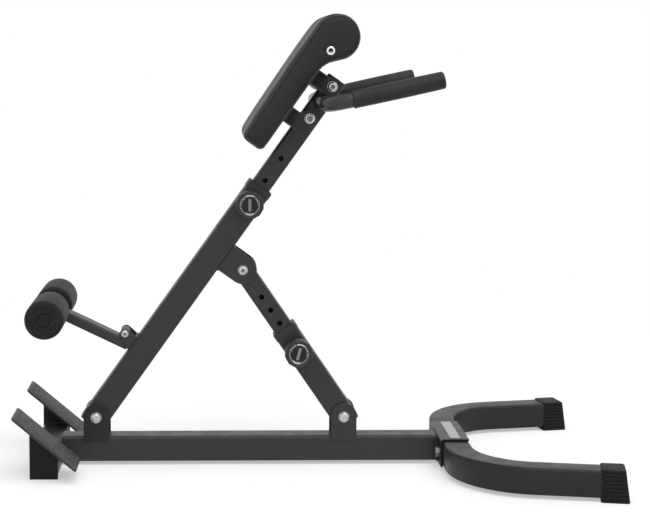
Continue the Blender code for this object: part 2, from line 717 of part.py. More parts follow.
def channel(name, outline, base_outline, ear_from, bolt_place, bolt_radius, frame):
    """A channel of two ears and a web, welded to a tube's face."""
    ears = []
    for side, label in ((-1, "right"), (1, "left")):
        faces = sorted((side * ear_from, side * (ear_from + EAR_THICKNESS)))
        ears.append(plate(name if side < 0 else name + "_" + label + "_ear", outline, faces[0],
                          faces[1], powder_coat, frame))
    bracket = ears[0]
    web_half = ear_from + EAR_THICKNESS / 2
    web = plate(name + "_web", base_outline, -web_half, web_half, powder_coat, frame)
    combine(bracket, web, "UNION")
    combine(bracket, ears[1], "UNION")
    drill(bracket, [through(bolt_place[0], bolt_place[1], bolt_radius)], frame)


def strut_top_bracket(frame):
    """Channel on the front of the main tube for the strut's upper pivot."""
    half = TOP_BRACKET_WIDTH / 2
    face = -half_tube - GAP
    outline = [(TOP_PIVOT_ALONG + half, face), (TOP_PIVOT_ALONG - half, face)]
    outline += arc((TOP_PIVOT_ALONG, -TOP_PIVOT_OFFSET), half, 180, 360, 14)
    web = [(TOP_PIVOT_ALONG - half, face), (TOP_PIVOT_ALONG + half, face),
           (TOP_PIVOT_ALONG + half, face - EAR_THICKNESS), (TOP_PIVOT_ALONG - half, face - EAR_THICKNESS)]
    place = (TOP_PIVOT_ALONG, 0.0, -TOP_PIVOT_OFFSET)
    channel("strut_top_bracket", outline, web, bracket_ear_inner, (place[0], place[2]),
            PIVOT_BOLT[0] + BOLT_CLEARANCE, frame)
    bolt_and_nut("strut_upper", PIVOT_BOLT, half_tube, frame, place)


def tangent_outline(base, nose, radius, steps):
    """Outline from two base points round a nose circle, touching it on both sides."""
    outline = [base[0], base[1]]
    touches = []
    for point, side in ((base[1], 1), (base[0], -1)):
        away = math.hypot(point[0] - nose[0], point[1] - nose[1])
        toward = math.atan2(point[1] - nose[1], point[0] - nose[0])
        touches.append(math.degrees(toward + side * math.acos(radius / away)))
    start, end = touches
    while end < start:
        end += 360
    return outline + arc(nose, radius, start, end, steps)


def roller_bracket(frame):
    """Channel on the rear of the main tube for the roller arm's pivot."""
    face = half_tube + GAP
    nose = (ROLLER_PIVOT_ALONG, ROLLER_PIVOT_OFFSET)
    outline = tangent_outline([(ROLLER_BRACKET_FROM, face), (ROLLER_BRACKET_TO, face)], nose,
                              ROLLER_EAR_NOSE, 10)
    web = [(ROLLER_BRACKET_FROM, face), (ROLLER_BRACKET_TO, face),
           (ROLLER_BRACKET_TO, face + EAR_THICKNESS), (ROLLER_BRACKET_FROM, face + EAR_THICKNESS)]
    channel("roller_bracket", outline, web, roller_ear_inner, nose,
            ROLLER_BOLT[0] + BOLT_CLEARANCE, frame)
    bolt_and_nut("roller_pivot", ROLLER_BOLT, roller_ear_inner + EAR_THICKNESS, frame,
                 (nose[0], 0.0, nose[1]))


def strut(frame):
    """Telescopic strut: outer tube on the base pivot, inner tube up to the arm."""
    outer = square_tube("strut_outer_tube", -TUBE_END_OVERHANG, strut_tube_end, STRUT_TUBE, STRUT_WALL,
                        TUBE_CORNER, powder_coat, frame)
    drill(outer, [through(0.0, 0.0, PIVOT_BOLT[0] + BOLT_CLEARANCE),
                  right_hole(strut_pin_along, plunger_bore),
                  right_hole(strut_tube_end - COLLAR_PEG_FROM_END, COLLAR_PEG_RADIUS)], frame)
    collar("strut_collar", strut_tube_end, STRUT_TUBE, STRUT_WALL, frame)
    pull_pin("strut_pin", strut_pin_along, STRUT_TUBE / 2, frame)
    slider = frame_at("strut_slide", (0.0, 0.0, 0.0), parent=frame)
    lower = strut_pin_along - STRUT_HOLES_DOWN * STRUT_HOLE_PITCH - STRUT_HOLE_MARGIN
    upper = strut_length + TUBE_END_OVERHANG
    inner = square_tube("strut_inner_tube", lower, upper, INNER_TUBE, INNER_WALL, INNER_CORNER,
                        powder_coat, slider)
    holes = [through(strut_length, 0.0, PIVOT_BOLT[0] + TOP_PIVOT_PLAY)]
    for step in range(-STRUT_HOLES_DOWN, STRUT_HOLES_UP + 1):
        holes.append(right_hole(strut_pin_along + step * STRUT_HOLE_PITCH, PIN_HOLE_RADIUS))
    drill(inner, holes, slider)


def post(frame):
    """Sliding post with its cap, pad brackets, pads and handle frame."""
    tube_end = POST_TOP_ALONG - POST_CAP_THICKNESS - GAP
    tube = square_tube("post_tube", POST_TOP_ALONG - POST_LENGTH, tube_end, INNER_TUBE, INNER_WALL,
                       INNER_CORNER, powder_coat, frame)
    holes = [through(HANDLE_ALONG, 0.0, HANDLE_RADIUS + GAP)]
    for step in range(-POST_HOLES_EACH_WAY, POST_HOLES_EACH_WAY + 1):
        holes.append(right_hole(post_pin_along + step * POST_HOLE_PITCH, PIN_HOLE_RADIUS))
    for bolt_along in (UPPER_BRACKET_BOLT, LOWER_BRACKET_BOLT):
        holes.append(through(bolt_along, 0.0, PAD_BOLT[0] + BOLT_CLEARANCE))
    drill(tube, holes, frame)
    post_cap(tube_end, frame)
    pad_bracket("upper_pad_bracket", UPPER_BRACKET_BOLT, UPPER_BRACKET_FROM, UPPER_BRACKET_TO, frame)
    pad_bracket("lower_pad_bracket", LOWER_BRACKET_BOLT, LOWER_BRACKET_FROM, LOWER_BRACKET_TO, frame)
    for side, label in ((-1, "right"), (1, "left")):
        pad(side, label, frame)
    handle(frame)


def post_cap(tube_end, frame):
    """Plastic plug in the post's upper end."""
    plug = INNER_TUBE - 2 * INNER_WALL - 2 * GAP
    stations = [(tube_end - POST_CAP_DEPTH, plug), (tube_end + GAP, plug), (tube_end + GAP, INNER_TUBE),
                (POST_TOP_ALONG - 0.001, INNER_TUBE), (POST_TOP_ALONG, INNER_TUBE - 0.002)]
    mesh_data = bmesh.new()
    rings = []
    for x, size in stations:
        corner = INNER_CORNER - INNER_WALL / 2 if size == plug else INNER_CORNER
        outline = rounded_rectangle(size, size, corner)
        rings.append([mesh_data.verts.new((x, across, high)) for across, high in outline])
    for first, second in zip(rings, rings[1:]):
        ring_faces(mesh_data, first, second)
    mesh_data.faces.new(rings[0])
    mesh_data.faces.new(rings[-1])
    add("post_cap", mesh_data, plastic, frame)


def pad_back(along):
    """Distance of the pads' back behind the arm's axis: flat, then the hollow under the roll."""
    if along > hollow_along:
        return hollow_offset + math.sqrt(PAD_FILLET_RADIUS ** 2 - (along - hollow_along) ** 2)
    share = (along - PAD_BOTTOM_ALONG) / (hollow_along - PAD_BOTTOM_ALONG)
    return PAD_BOTTOM_BACK + (PAD_BACK_TOP - PAD_BOTTOM_BACK) * share


def back_strip(start, end, depth_from, depth_to):
    """Outline of a flat strip along the pads' back, between two depths behind it."""
    tilt = math.atan2(PAD_BACK_TOP - PAD_BOTTOM_BACK, hollow_along - PAD_BOTTOM_ALONG)
    corners = []
    for along, depth in ((start, depth_from), (end, depth_from), (end, depth_to), (start, depth_to)):
        corners.append((along - depth * math.sin(tilt), pad_back(along) + depth * math.cos(tilt)))
    return corners


def pad_bracket(name, bolt_along, start, end, frame):
    """A channel across the pads' back with two ears that straddle the post."""
    ear_from = half_inner + GAP
    wall = PAD_CHANNEL_WALL
    section = [(start, ear_from), (start, pad_back(start) - GAP), (end, pad_back(end) - GAP),
               (end, ear_from), (end - wall, ear_from), (end - wall, pad_back(end) - GAP - wall),
               (start + wall, pad_back(start) - GAP - wall), (start + wall, ear_from)]
    upper = end - WELD_STEP
    lower = start + WELD_STEP
    depth = min(pad_back(start), pad_back(end)) - GAP - wall / 2
    nose = tangent_outline([(upper, ear_from), (lower, ear_from)], (bolt_along, 0.0), PAD_BRACKET_NOSE, 10)
    outline = [nose[0], (upper, depth), (lower, depth)] + nose[1:]
    ears = []
    for side in (-1, 1):
        faces = sorted((side * ear_from, side * (ear_from + EAR_THICKNESS)))
        ears.append(plate(name if side < 0 else name + "_left_ear", outline, faces[0], faces[1],
                          powder_coat, frame))
    bar = plate(name + "_bar", section, -PAD_CHANNEL_HALF, PAD_CHANNEL_HALF, powder_coat, frame)
    combine(ears[0], bar, "UNION")
    combine(ears[0], ears[1], "UNION")
    drill(ears[0], [through(bolt_along, 0.0, PAD_BOLT[0] + BOLT_CLEARANCE)], frame)
    bolt_and_nut(name.replace("bracket", "bracket_fixing"), PAD_BOLT, ear_from + EAR_THICKNESS, frame,
                 (bolt_along, 0.0, 0.0))


def pad_profile():
    """Side outline of a pad: a wedge with a thick roll at its upper end."""
    roll = (PAD_ROLL_ALONG, PAD_ROLL_OFFSET)
    front_bottom = (PAD_BOTTOM_ALONG + PAD_FRONT_CORNER, PAD_BOTTOM_FRONT - PAD_FRONT_CORNER)
    back_bottom = (PAD_BOTTOM_ALONG + PAD_BACK_CORNER, PAD_BOTTOM_BACK + PAD_BACK_CORNER)
    rise = math.degrees(math.asin((roll[1] + PAD_ROLL_RADIUS - PAD_BOTTOM_FRONT)
                                  / (roll[0] - PAD_BOTTOM_ALONG)))
    back_tilt = math.degrees(math.atan2(PAD_BOTTOM_BACK - PAD_BACK_TOP, hollow_along - PAD_BOTTOM_ALONG))
    touch = math.degrees(hollow_turn)
    outline = arc(back_bottom, PAD_BACK_CORNER, 270 - back_tilt, 180, 4)
    outline += arc(front_bottom, PAD_FRONT_CORNER, 180, 90 + rise, 4)
    outline += arc(roll, PAD_ROLL_RADIUS, 90 + rise, touch - 180, 18)
    return outline + arc((hollow_along, hollow_offset), PAD_FILLET_RADIUS, touch, 90, 6)[1:]


def inset_outline(outline, amount):
    """The outline moved inward by an amount, for outlines that run clockwise."""
    moved = []
    count = len(outline)
    for index in range(count):
        before = Vector(outline[index - 1])
        here = Vector(outline[index])
        after = Vector(outline[(index + 1) % count])
        first = (here - before).normalized()
        second = (after - here).normalized()
        inward = Vector((first.y + second.y, -first.x - second.x)).normalized()
        stretch = 1 / max(inward.dot(Vector((first.y, -first.x))), 0.5)
        moved.append((here.x + inward.x * amount * stretch, here.y + inward.y * amount * stretch))
    return moved


def pad(side, label, frame):
    """One thigh pad with soft edges, its board in a pocket and its vent eyelet."""
    inner = PAD_INNER_HALF
    outer = PAD_INNER_HALF + PAD_WIDTH
    outline = pad_profile()
    mesh_data = bmesh.new()
    rings = []
    steps = 3
    for face, sense in ((inner, 1), (outer, -1)):
        order = range(steps + 1) if sense > 0 else range(steps, -1, -1)
        for step in order:
            angle = math.pi / 2 * step / steps
            inset = PAD_EDGE_RADIUS * (1 - math.sin(angle))
            y = face + sense * PAD_EDGE_RADIUS * (1 - math.cos(angle))
            rings.append([mesh_data.verts.new((x, side * y, z)) for x, z in inset_outline(outline, inset)])
    for first, second in zip(rings, rings[1:]):
        ring_faces(mesh_data, first, second)
    mesh_data.faces.new(rings[0])
    mesh_data.faces.new(rings[-1])
    cushion = add("thigh_pad_" + label, mesh_data, leather, frame)
    start = PAD_BOTTOM_ALONG + BOARD_INSET
    end = hollow_along - 3 * GAP
    middle = side * (inner + PAD_WIDTH / 2)
    half = PAD_WIDTH / 2 - BOARD_INSET
    plate("pad_board_" + label, back_strip(start, end, 0.0, BOARD_THICKNESS), middle - half,
          middle + half, plywood, frame)
    pocket = plate("pad_pocket_" + label, back_strip(start - GAP, end + GAP, -BOARD_THICKNESS / 2,
                                                     BOARD_THICKNESS + GAP),
                   middle - half - GAP, middle + half + GAP, plywood, frame)
    combine(cushion, pocket, "DIFFERENCE")
    eyelet(side, label, cushion, outer, frame)


def eyelet(side, label, cushion, outer, frame):
    """The chrome vent eyelet in a pad's outer side, in a hole of its own."""
    flange = outer + GAP
    root = outer - EYELET_DEPTH
    face = outer + EYELET_LIP
    shank = EYELET_RADIUS * 0.7
    profile = [(root, EYELET_HOLE), (face, EYELET_HOLE), (face, EYELET_RADIUS - 0.001),
               (flange, EYELET_RADIUS), (flange, shank), (root, shank)]
    turned("pad_eyelet_" + label, [(side * y, radius) for y, radius in profile], chrome, frame,
           (EYELET_ALONG, 0.0, EYELET_OFFSET), BOLT_ROUND, closed=True)
    ends = sorted((side * (root - GAP), side * (outer + EYELET_RADIUS)))
    drill(cushion, [(EYELET_ALONG, EYELET_OFFSET, shank + GAP, ends[0], ends[1])], frame)


def handle(frame):
    """Bent round handle tube through the post, with a grip on each end."""
    tilt = HANDLE_TILT - ARM_ANGLE
    forward = Vector((math.cos(tilt), 0.0, math.sin(tilt)))
    across = Vector((0.0, 1.0, 0.0))
    centre = Vector((HANDLE_ALONG, 0.0, 0.0))
    straight = HANDLE_HALF_SPREAD - HANDLE_BEND_RADIUS
    bend = arc((HANDLE_BEND_RADIUS, straight), HANDLE_BEND_RADIUS, 180, 90, HANDLE_BEND_STEPS)
    left = bend + [(HANDLE_REACH, HANDLE_HALF_SPREAD)]
    flat = [(x, -y) for x, y in reversed(left)] + left
    path = [centre + forward * x + across * y for x, y in flat]
    up = forward.cross(across)
    bar = swept(path, up, circle(HANDLE_RADIUS, BOLT_ROUND), circle(HANDLE_RADIUS - HANDLE_WALL, BOLT_ROUND))
    add("handle_frame", bar, powder_coat, frame)
    bore = HANDLE_RADIUS + GAP
    for side, label in ((-1, "right"), (1, "left")):
        tip = centre + forward * HANDLE_REACH + across * side * HANDLE_HALF_SPREAD
        line = frame_at("grip_line_" + label, tip, parent=frame)
        line.rotation_euler = (0.0, -tilt, -math.pi / 2)
        line.rotation_mode = "ZYX"
        root = GRIP_END - GRIP_LENGTH
        profile = [(GAP, 0.0), (GAP, bore), (root, bore), (root, GRIP_RADIUS - 0.001),
                   (root + 0.001, GRIP_RADIUS), (GRIP_END - 0.003, GRIP_RADIUS),
                   (GRIP_END, GRIP_RADIUS - 0.003), (GRIP_END, 0.0)]
        turned("handle_grip_" + label, profile, rubber, line)


def roller_assembly(frame):
    """Folding roller arm with its lug and axle, and the two foam rollers."""
    pivot = Vector((ROLLER_PIVOT_ALONG, 0.0, ROLLER_PIVOT_OFFSET))
    swing = frame_at("roller_arm_swing", pivot, parent=frame)
    axle_place = Vector((ROLLER_ALONG, 0.0, ROLLER_OFFSET)) - pivot
    foot_height = half_tube + 2 * GAP + EAR_THICKNESS
    foot = Vector((ROLLER_ARM_FOOT, 0.0, foot_height)) - pivot
    line = (axle_place - foot).normalized()
    normal = Vector((line.z, 0.0, -line.x))
    half = ROLLER_ARM_HEIGHT / 2
    slope = math.atan2(line.x, line.z)
    outline = rounded_rectangle(ROLLER_ARM_WIDTH, ROLLER_ARM_HEIGHT, INNER_CORNER)
    bore = rounded_rectangle(ROLLER_ARM_WIDTH - 2 * ROLLER_ARM_WALL,
                             ROLLER_ARM_HEIGHT - 2 * ROLLER_ARM_WALL, INNER_CORNER - ROLLER_ARM_WALL / 2)
    run = [foot - line * half, axle_place]
    arm = add("roller_arm", swept(run, normal, outline, bore), powder_coat, swing)
    reach = half * math.tan(abs(slope)) + LUG_NOSE
    heel = foot + line * LUG_HEEL + normal * (half - ROLLER_ARM_WALL / 2)
    toe = heel + line * LUG_FOOT
    lug_outline = tangent_outline([(toe.x, toe.z), (heel.x, heel.z)], (0.0, 0.0), LUG_NOSE, 10)
    lug = plate("roller_arm_lug", lug_outline, -LUG_WIDTH / 2, LUG_WIDTH / 2, powder_coat, swing)
    combine(arm, lug, "UNION")
    drill(arm, [through(0.0, 0.0, ROLLER_BOLT[0] + BOLT_CLEARANCE),
                through(axle_place.x, axle_place.z, AXLE_RADIUS + GAP)], swing)
    trim = [(foot.x - reach - FRAME_TUBE, foot.z), (foot.x + reach + FRAME_TUBE, foot.z),
            (foot.x + reach + FRAME_TUBE, foot.z - FRAME_TUBE),
            (foot.x - reach - FRAME_TUBE, foot.z - FRAME_TUBE)]
    square_end = plate("roller_arm_end_trim", trim, -FRAME_TUBE, FRAME_TUBE, powder_coat, swing)
    combine(arm, square_end, "DIFFERENCE")
    axle(axle_place, swing)


def axle(place, swing):
    """Roller axle with two collars, and a foam roller on each side."""
    end = ROLLER_INNER_END + ROLLER_LENGTH - AXLE_END_INSET
    stop = ROLLER_INNER_END - GAP
    back = stop - AXLE_COLLAR_WIDTH
    half_side = [(back, AXLE_RADIUS), (back, AXLE_COLLAR_RADIUS), (stop, AXLE_COLLAR_RADIUS),
                 (stop, AXLE_RADIUS), (end, AXLE_RADIUS)]
    profile = [(-end, 0.0)] + [(-y, radius) for y, radius in reversed(half_side)] + half_side
    turned("roller_axle", profile + [(end, 0.0)], powder_coat, swing, place)
    bore = AXLE_RADIUS + BOLT_CLEARANCE
    for side, label in ((-1, "right"), (1, "left")):
        near = ROLLER_INNER_END
        far = near + ROLLER_LENGTH
        shell = [(near, bore), (near, ROLLER_RADIUS - ROLLER_EDGE)]
        shell += [(near + ROLLER_EDGE * (1 - math.cos(step * math.pi / 6)),
                   ROLLER_RADIUS - ROLLER_EDGE * (1 - math.sin(step * math.pi / 6))) for step in (1, 2, 3)]
        shell += [(far - ROLLER_EDGE * (1 - math.sin(step * math.pi / 6)),
                   ROLLER_RADIUS - ROLLER_EDGE * (1 - math.cos(step * math.pi / 6))) for step in (0, 1, 2)]
        shell += [(far, ROLLER_RADIUS - ROLLER_EDGE), (far, bore)]
        turned("foam_roller_" + label, [(side * y, radius) for y, radius in shell], foam, swing, place,
               ROLLER_ROUND, closed=True)


base_tubes()
footplates()
front_base()
arm_frame = frame_at("main_arm_tilt", main_pivot, ARM_ANGLE)
main_arm(arm_frame)
post_frame = frame_at("post_slide", (0.0, 0.0, 0.0), parent=arm_frame)
post(post_frame)
strut_frame = frame_at("strut_swing", strut_pivot, strut_angle)
strut(strut_frame)
roller_assembly(arm_frame)
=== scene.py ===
import json
import math

import bmesh
import bpy
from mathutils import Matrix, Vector
from mathutils.bvhtree import BVHTree
from mathutils.kdtree import KDTree

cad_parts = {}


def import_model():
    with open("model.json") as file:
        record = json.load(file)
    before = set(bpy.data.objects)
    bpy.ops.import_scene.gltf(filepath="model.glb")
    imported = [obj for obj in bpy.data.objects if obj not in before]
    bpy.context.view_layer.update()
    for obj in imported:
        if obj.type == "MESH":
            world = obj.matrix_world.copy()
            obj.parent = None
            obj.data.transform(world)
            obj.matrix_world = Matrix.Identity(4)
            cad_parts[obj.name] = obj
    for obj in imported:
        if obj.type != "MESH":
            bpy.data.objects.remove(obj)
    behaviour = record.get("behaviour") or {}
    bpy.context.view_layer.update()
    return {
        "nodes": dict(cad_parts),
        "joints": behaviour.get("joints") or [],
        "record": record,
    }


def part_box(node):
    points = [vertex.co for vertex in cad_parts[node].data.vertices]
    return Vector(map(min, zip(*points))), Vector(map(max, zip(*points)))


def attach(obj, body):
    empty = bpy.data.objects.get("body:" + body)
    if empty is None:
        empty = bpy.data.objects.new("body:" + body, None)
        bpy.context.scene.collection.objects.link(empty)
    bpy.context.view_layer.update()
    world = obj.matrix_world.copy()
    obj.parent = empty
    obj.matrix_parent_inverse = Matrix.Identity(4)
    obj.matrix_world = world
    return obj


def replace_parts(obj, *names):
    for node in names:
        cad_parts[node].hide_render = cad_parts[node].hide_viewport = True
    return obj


# Studio picture of the hyperextension bench. Metres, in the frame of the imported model:
# +X forward, +Y to the bench's left, +Z up.

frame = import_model()
nodes = frame["nodes"]

FORWARD = Vector((1.0, 0.0, 0.0))
ACROSS = Vector((0.0, 1.0, 0.0))
UP = Vector((0.0, 0.0, 1.0))

# The two sides, each with its sign across
SIDES = (("right", -1), ("left", 1))

# Gap between a sleeve or a plug and what it sits on
GAP = 0.0003

# Camera
CAMERA_PLACE = (-0.1860, -3.1349, 0.8095)
CAMERA_TURN = (85.878, 0.161, -0.233)
CAMERA_LENS = 88.244
CAMERA_SENSOR = 36.0
CAMERA_SHIFT = (0.16, -0.14)

# Light and floor
SKY_FOR_SHADE = 0.42
KEY_STRENGTH = 1.15
KEY_SPREAD = 50
KEY_TURN = (28, 14, 0)
FILL_STRENGTH = 0.45
FILL_SPREAD = 80
FILL_TURN = (68, -22, 0)
FLOOR_HALF = 6.0
FLOOR_SHADE_RADIUS = 1.2
FLOOR_GLOW = 0.43
WHITE = (1.0, 1.0, 1.0, 1.0)

# Tubes, plates and welds, as in the part
FRAME_TUBE = 0.0508
FRAME_WALL = 0.0025
STRUT_TUBE = 0.048
INNER_TUBE = 0.0385
TUBE_CORNER = 0.0045
CROSSBAR_LENGTH = 0.2514
FRONT_STRAIGHT = 0.228
FRONT_BEND_RADIUS = 0.145
FRONT_FLARE = math.radians(10.5)
FRONT_LEG = 0.1557
TOP_PIVOT_ALONG = 0.4067
TOP_BRACKET_WIDTH = 0.0555
ROLLER_BRACKET_FROM = 0.147
ROLLER_BRACKET_TO = 0.1765
BARREL_RADIUS = 0.0115
COLLAR_PEG_FROM_END = 0.0082
COLLAR_PEG_RADIUS = 0.003
COLLAR_PEG_DOME = 0.0008
WELD_RADIUS = 0.0019
HEAVY_WELD_RADIUS = 0.0022
PLATE_WELD_RADIUS = 0.0016
BRACKET_WELD_RADIUS = 0.0014
RING_WELD_RADIUS = 0.0013
AXLE_WELD_RADIUS = 0.0010
AXLE_WELD_REACH = 0.0131
WELD_PITCH = 0.0036
WELD_OFF_FLOOR = 0.004
WELD_FROM_EDGE = 0.002
WELD_RIPPLE = 0.16

# Footplates and their grip sheets
FOOTPLATE_LENGTH = 0.1585
FOOTPLATE_WIDTH = 0.100
FOOTPLATE_ANGLE = math.radians(40.1)
GRIP_SHEET_INSET = 0.0035
GRIP_SHEET_THICKNESS = 0.0009
GRIP_SHEET_CORNER = 0.005

# Front bracket and its bare badge plate
BRACKET_THICKNESS = 0.004
BRACKET_OUTER_BEND = 0.0068
BRACKET_INNER_BEND = 0.0028
BRACKET_EDGE = 0.0005
BADGE_WIDTH = 0.020
BADGE_LENGTH = 0.138
BADGE_CORNER = 0.003
BADGE_FORWARD = 0.002

# Rubber end caps; a groove is given by places across it and its depth there
CAP_WALL = 0.0022
CAP_GRIP_LENGTH = 0.0390
CAP_TOP_NOSE = 0.005
CAP_BOTTOM_NOSE = 0.013
CAP_CROWN = 0.0028
CAP_GROOVES = 8
CAP_GROOVE_PITCH = 0.0070
CAP_GROOVE = ((-0.0019, 0.0), (-0.0013, 0.0004), (-0.0009, 0.0017), (0.0009, 0.0017), (0.0013, 0.0004),
              (0.0019, 0.0))

# Handle and grips
HANDLE_ALONG = 0.765
HANDLE_RADIUS = 0.014
HANDLE_HALF_SPREAD = 0.226
HANDLE_BEND_RADIUS = 0.045
HANDLE_REACH = 0.2125
HANDLE_TILT = math.radians(12.2)
GRIP_RADIUS = 0.0165
GRIP_WAIST = 0.0003
GRIP_SWELL = 0.0005
GRIP_DOME = 0.0056
GRIP_LENGTH = 0.172
GRIP_END = 0.004

# Knobs
KNOB_RADIUS = 0.0277
KNOB_LOBES = 12
KNOB_LOBE_DEPTH = 0.0012
KNOB_FACE_RADIUS = 0.0215
KNOB_FACE_RECESS = 0.0012
KNOB_DISC_RADIUS = 0.0150
KNOB_RING_INNER = 0.01528
KNOB_RING_OUTER = 0.01977
KNOB_SHORT_TICK = 0.0016
KNOB_ARC_WIDTH = 0.0024
KNOB_TICKS = 26
KNOB_TICK_GROUPS = 3
KNOB_BAR_HALF_LENGTH = 0.0122
KNOB_BAR_HALF_WIDTH = 0.00276

# Pads, as in the part
PAD_BOTTOM_ALONG = 0.6207
PAD_BOTTOM_BACK = 0.0440
PAD_BACK_TOP = 0.0450
PAD_BOTTOM_FRONT = 0.0935
PAD_ROLL_ALONG = 0.8806
PAD_ROLL_OFFSET = 0.0542
PAD_ROLL_RADIUS = 0.0450
PAD_FILLET_RADIUS = 0.055
PAD_FRONT_CORNER = 0.012
PAD_BACK_CORNER = 0.010
PAD_LEAST_CORNER = 0.0005
PAD_EDGE_RADIUS = 0.009
PAD_INNER_HALF = 0.011
PAD_WIDTH = 0.114

# Pads, in this picture only: rounder front edges, seams, staples and the cloth's own values
PAD_FRONT_EDGE_RADIUS = 0.017
PAD_EDGE_BLEND = 0.030
PAD_START_INSET = 0.0005
PAD_SEAM_HOLD = 0.0075
PAD_VOXEL = 0.005
PAD_PRESSURE = 4.0
PAD_CAP = 0.0032
PAD_FRAMES = 20
EYELET_HOLD = 0.013
EYELET_ALONG = 0.8521
EYELET_OFFSET = 0.0490
EYELET_RING = 0.0085
EYELET_HOLE = 0.0042
EYELET_LIFT = 0.0002
EYELET_HEIGHT = 0.0016
PIPING_RADIUS = 0.0012
PIPING_SPACING = 0.003
STITCH_RADIUS = 0.00045
STITCH_SETBACK = 0.0065
STAPLE_INSET = 0.007
STAPLE_PITCH = 0.021
STAPLE_HALF = 0.005
STAPLE_RADIUS = 0.0002
STAPLE_SUNK = 0.00005

# Foam rollers
ROLLER_BORE = 0.0129
ROLLER_EDGE = 0.008
ROLLER_BORE_SETBACK = 0.0030
ROLLER_GROOVE_DEPTH = 0.0007
ROLLER_PLUG_RADIUS = 0.0124
ROLLER_PLUG_SETBACK = 0.0006

# Bolts: label, start of node names, body, shank and head radius, head height, socket's share of the head
BUTTON_BOLTS = (
    ("main_pivot", "main_pivot", "base", 0.0060, 0.0107, 0.0065, 0.46),
    ("strut_lower", "strut_lower", "base", 0.0060, 0.0107, 0.0065, 0.46),
    ("strut_upper", "strut_upper", "main_arm", 0.0060, 0.0098, 0.0065, 0.46),
    ("roller_pivot", "roller_pivot", "main_arm", 0.0040, 0.0074, 0.0050, 0.46),
    ("upper_fixing", "upper_pad_bracket_fixing", "post", 0.0050, 0.0105, 0.0065, 0.46),
    ("lower_fixing", "lower_pad_bracket_fixing", "post", 0.0050, 0.0105, 0.0065, 0.64),
)
BOLT_SIDES = 48
SOCKET_RIM = 0.098
SOCKET_FLOOR = 0.45
WASHER_THICKNESS = 0.0014

# Frames of the arm and the strut, in which places are given: along the tube, across, and to its rear
joints = {joint["name"]: joint for joint in frame["joints"]}
main_pivot = Vector(joints["incline"]["pos_m"])
arm_along = Vector(joints["post_slide"]["axis"]).normalized()
arm_rear = Vector((-arm_along.z, 0.0, arm_along.x))
strut_pivot = Vector(joints["strut_swing"]["pos_m"])
strut_along = Vector(joints["strut_slide"]["axis"]).normalized()

handle_forward = Vector((math.cos(HANDLE_TILT), 0.0, math.sin(HANDLE_TILT)))
down_slope = Vector((math.cos(FOOTPLATE_ANGLE), 0.0, -math.sin(FOOTPLATE_ANGLE)))
hollow_offset = PAD_BACK_TOP - PAD_FILLET_RADIUS
hollow_reach = PAD_ROLL_RADIUS + PAD_FILLET_RADIUS
hollow_turn = math.asin((PAD_ROLL_OFFSET - hollow_offset) / hollow_reach)
hollow_along = PAD_ROLL_ALONG - hollow_reach * math.cos(hollow_turn)


def arm_point(along, y, rear):
    """World place of a point in the arm's frame."""
    return main_pivot + arm_along * along + arm_rear * rear + ACROSS * y


def axis_point(node, y):
    """The middle of a node's box, moved sideways to a given place across."""
    low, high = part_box(node)
    return Vector(((low.x + high.x) / 2, y, (low.z + high.z) / 2))


def span(node, origin, direction):
    """How near and how far a node reaches along a direction from a place."""
    reaches = [(vertex.co - origin).dot(direction) for vertex in nodes[node].data.vertices]
    return min(reaches), max(reaches)


# Node materials


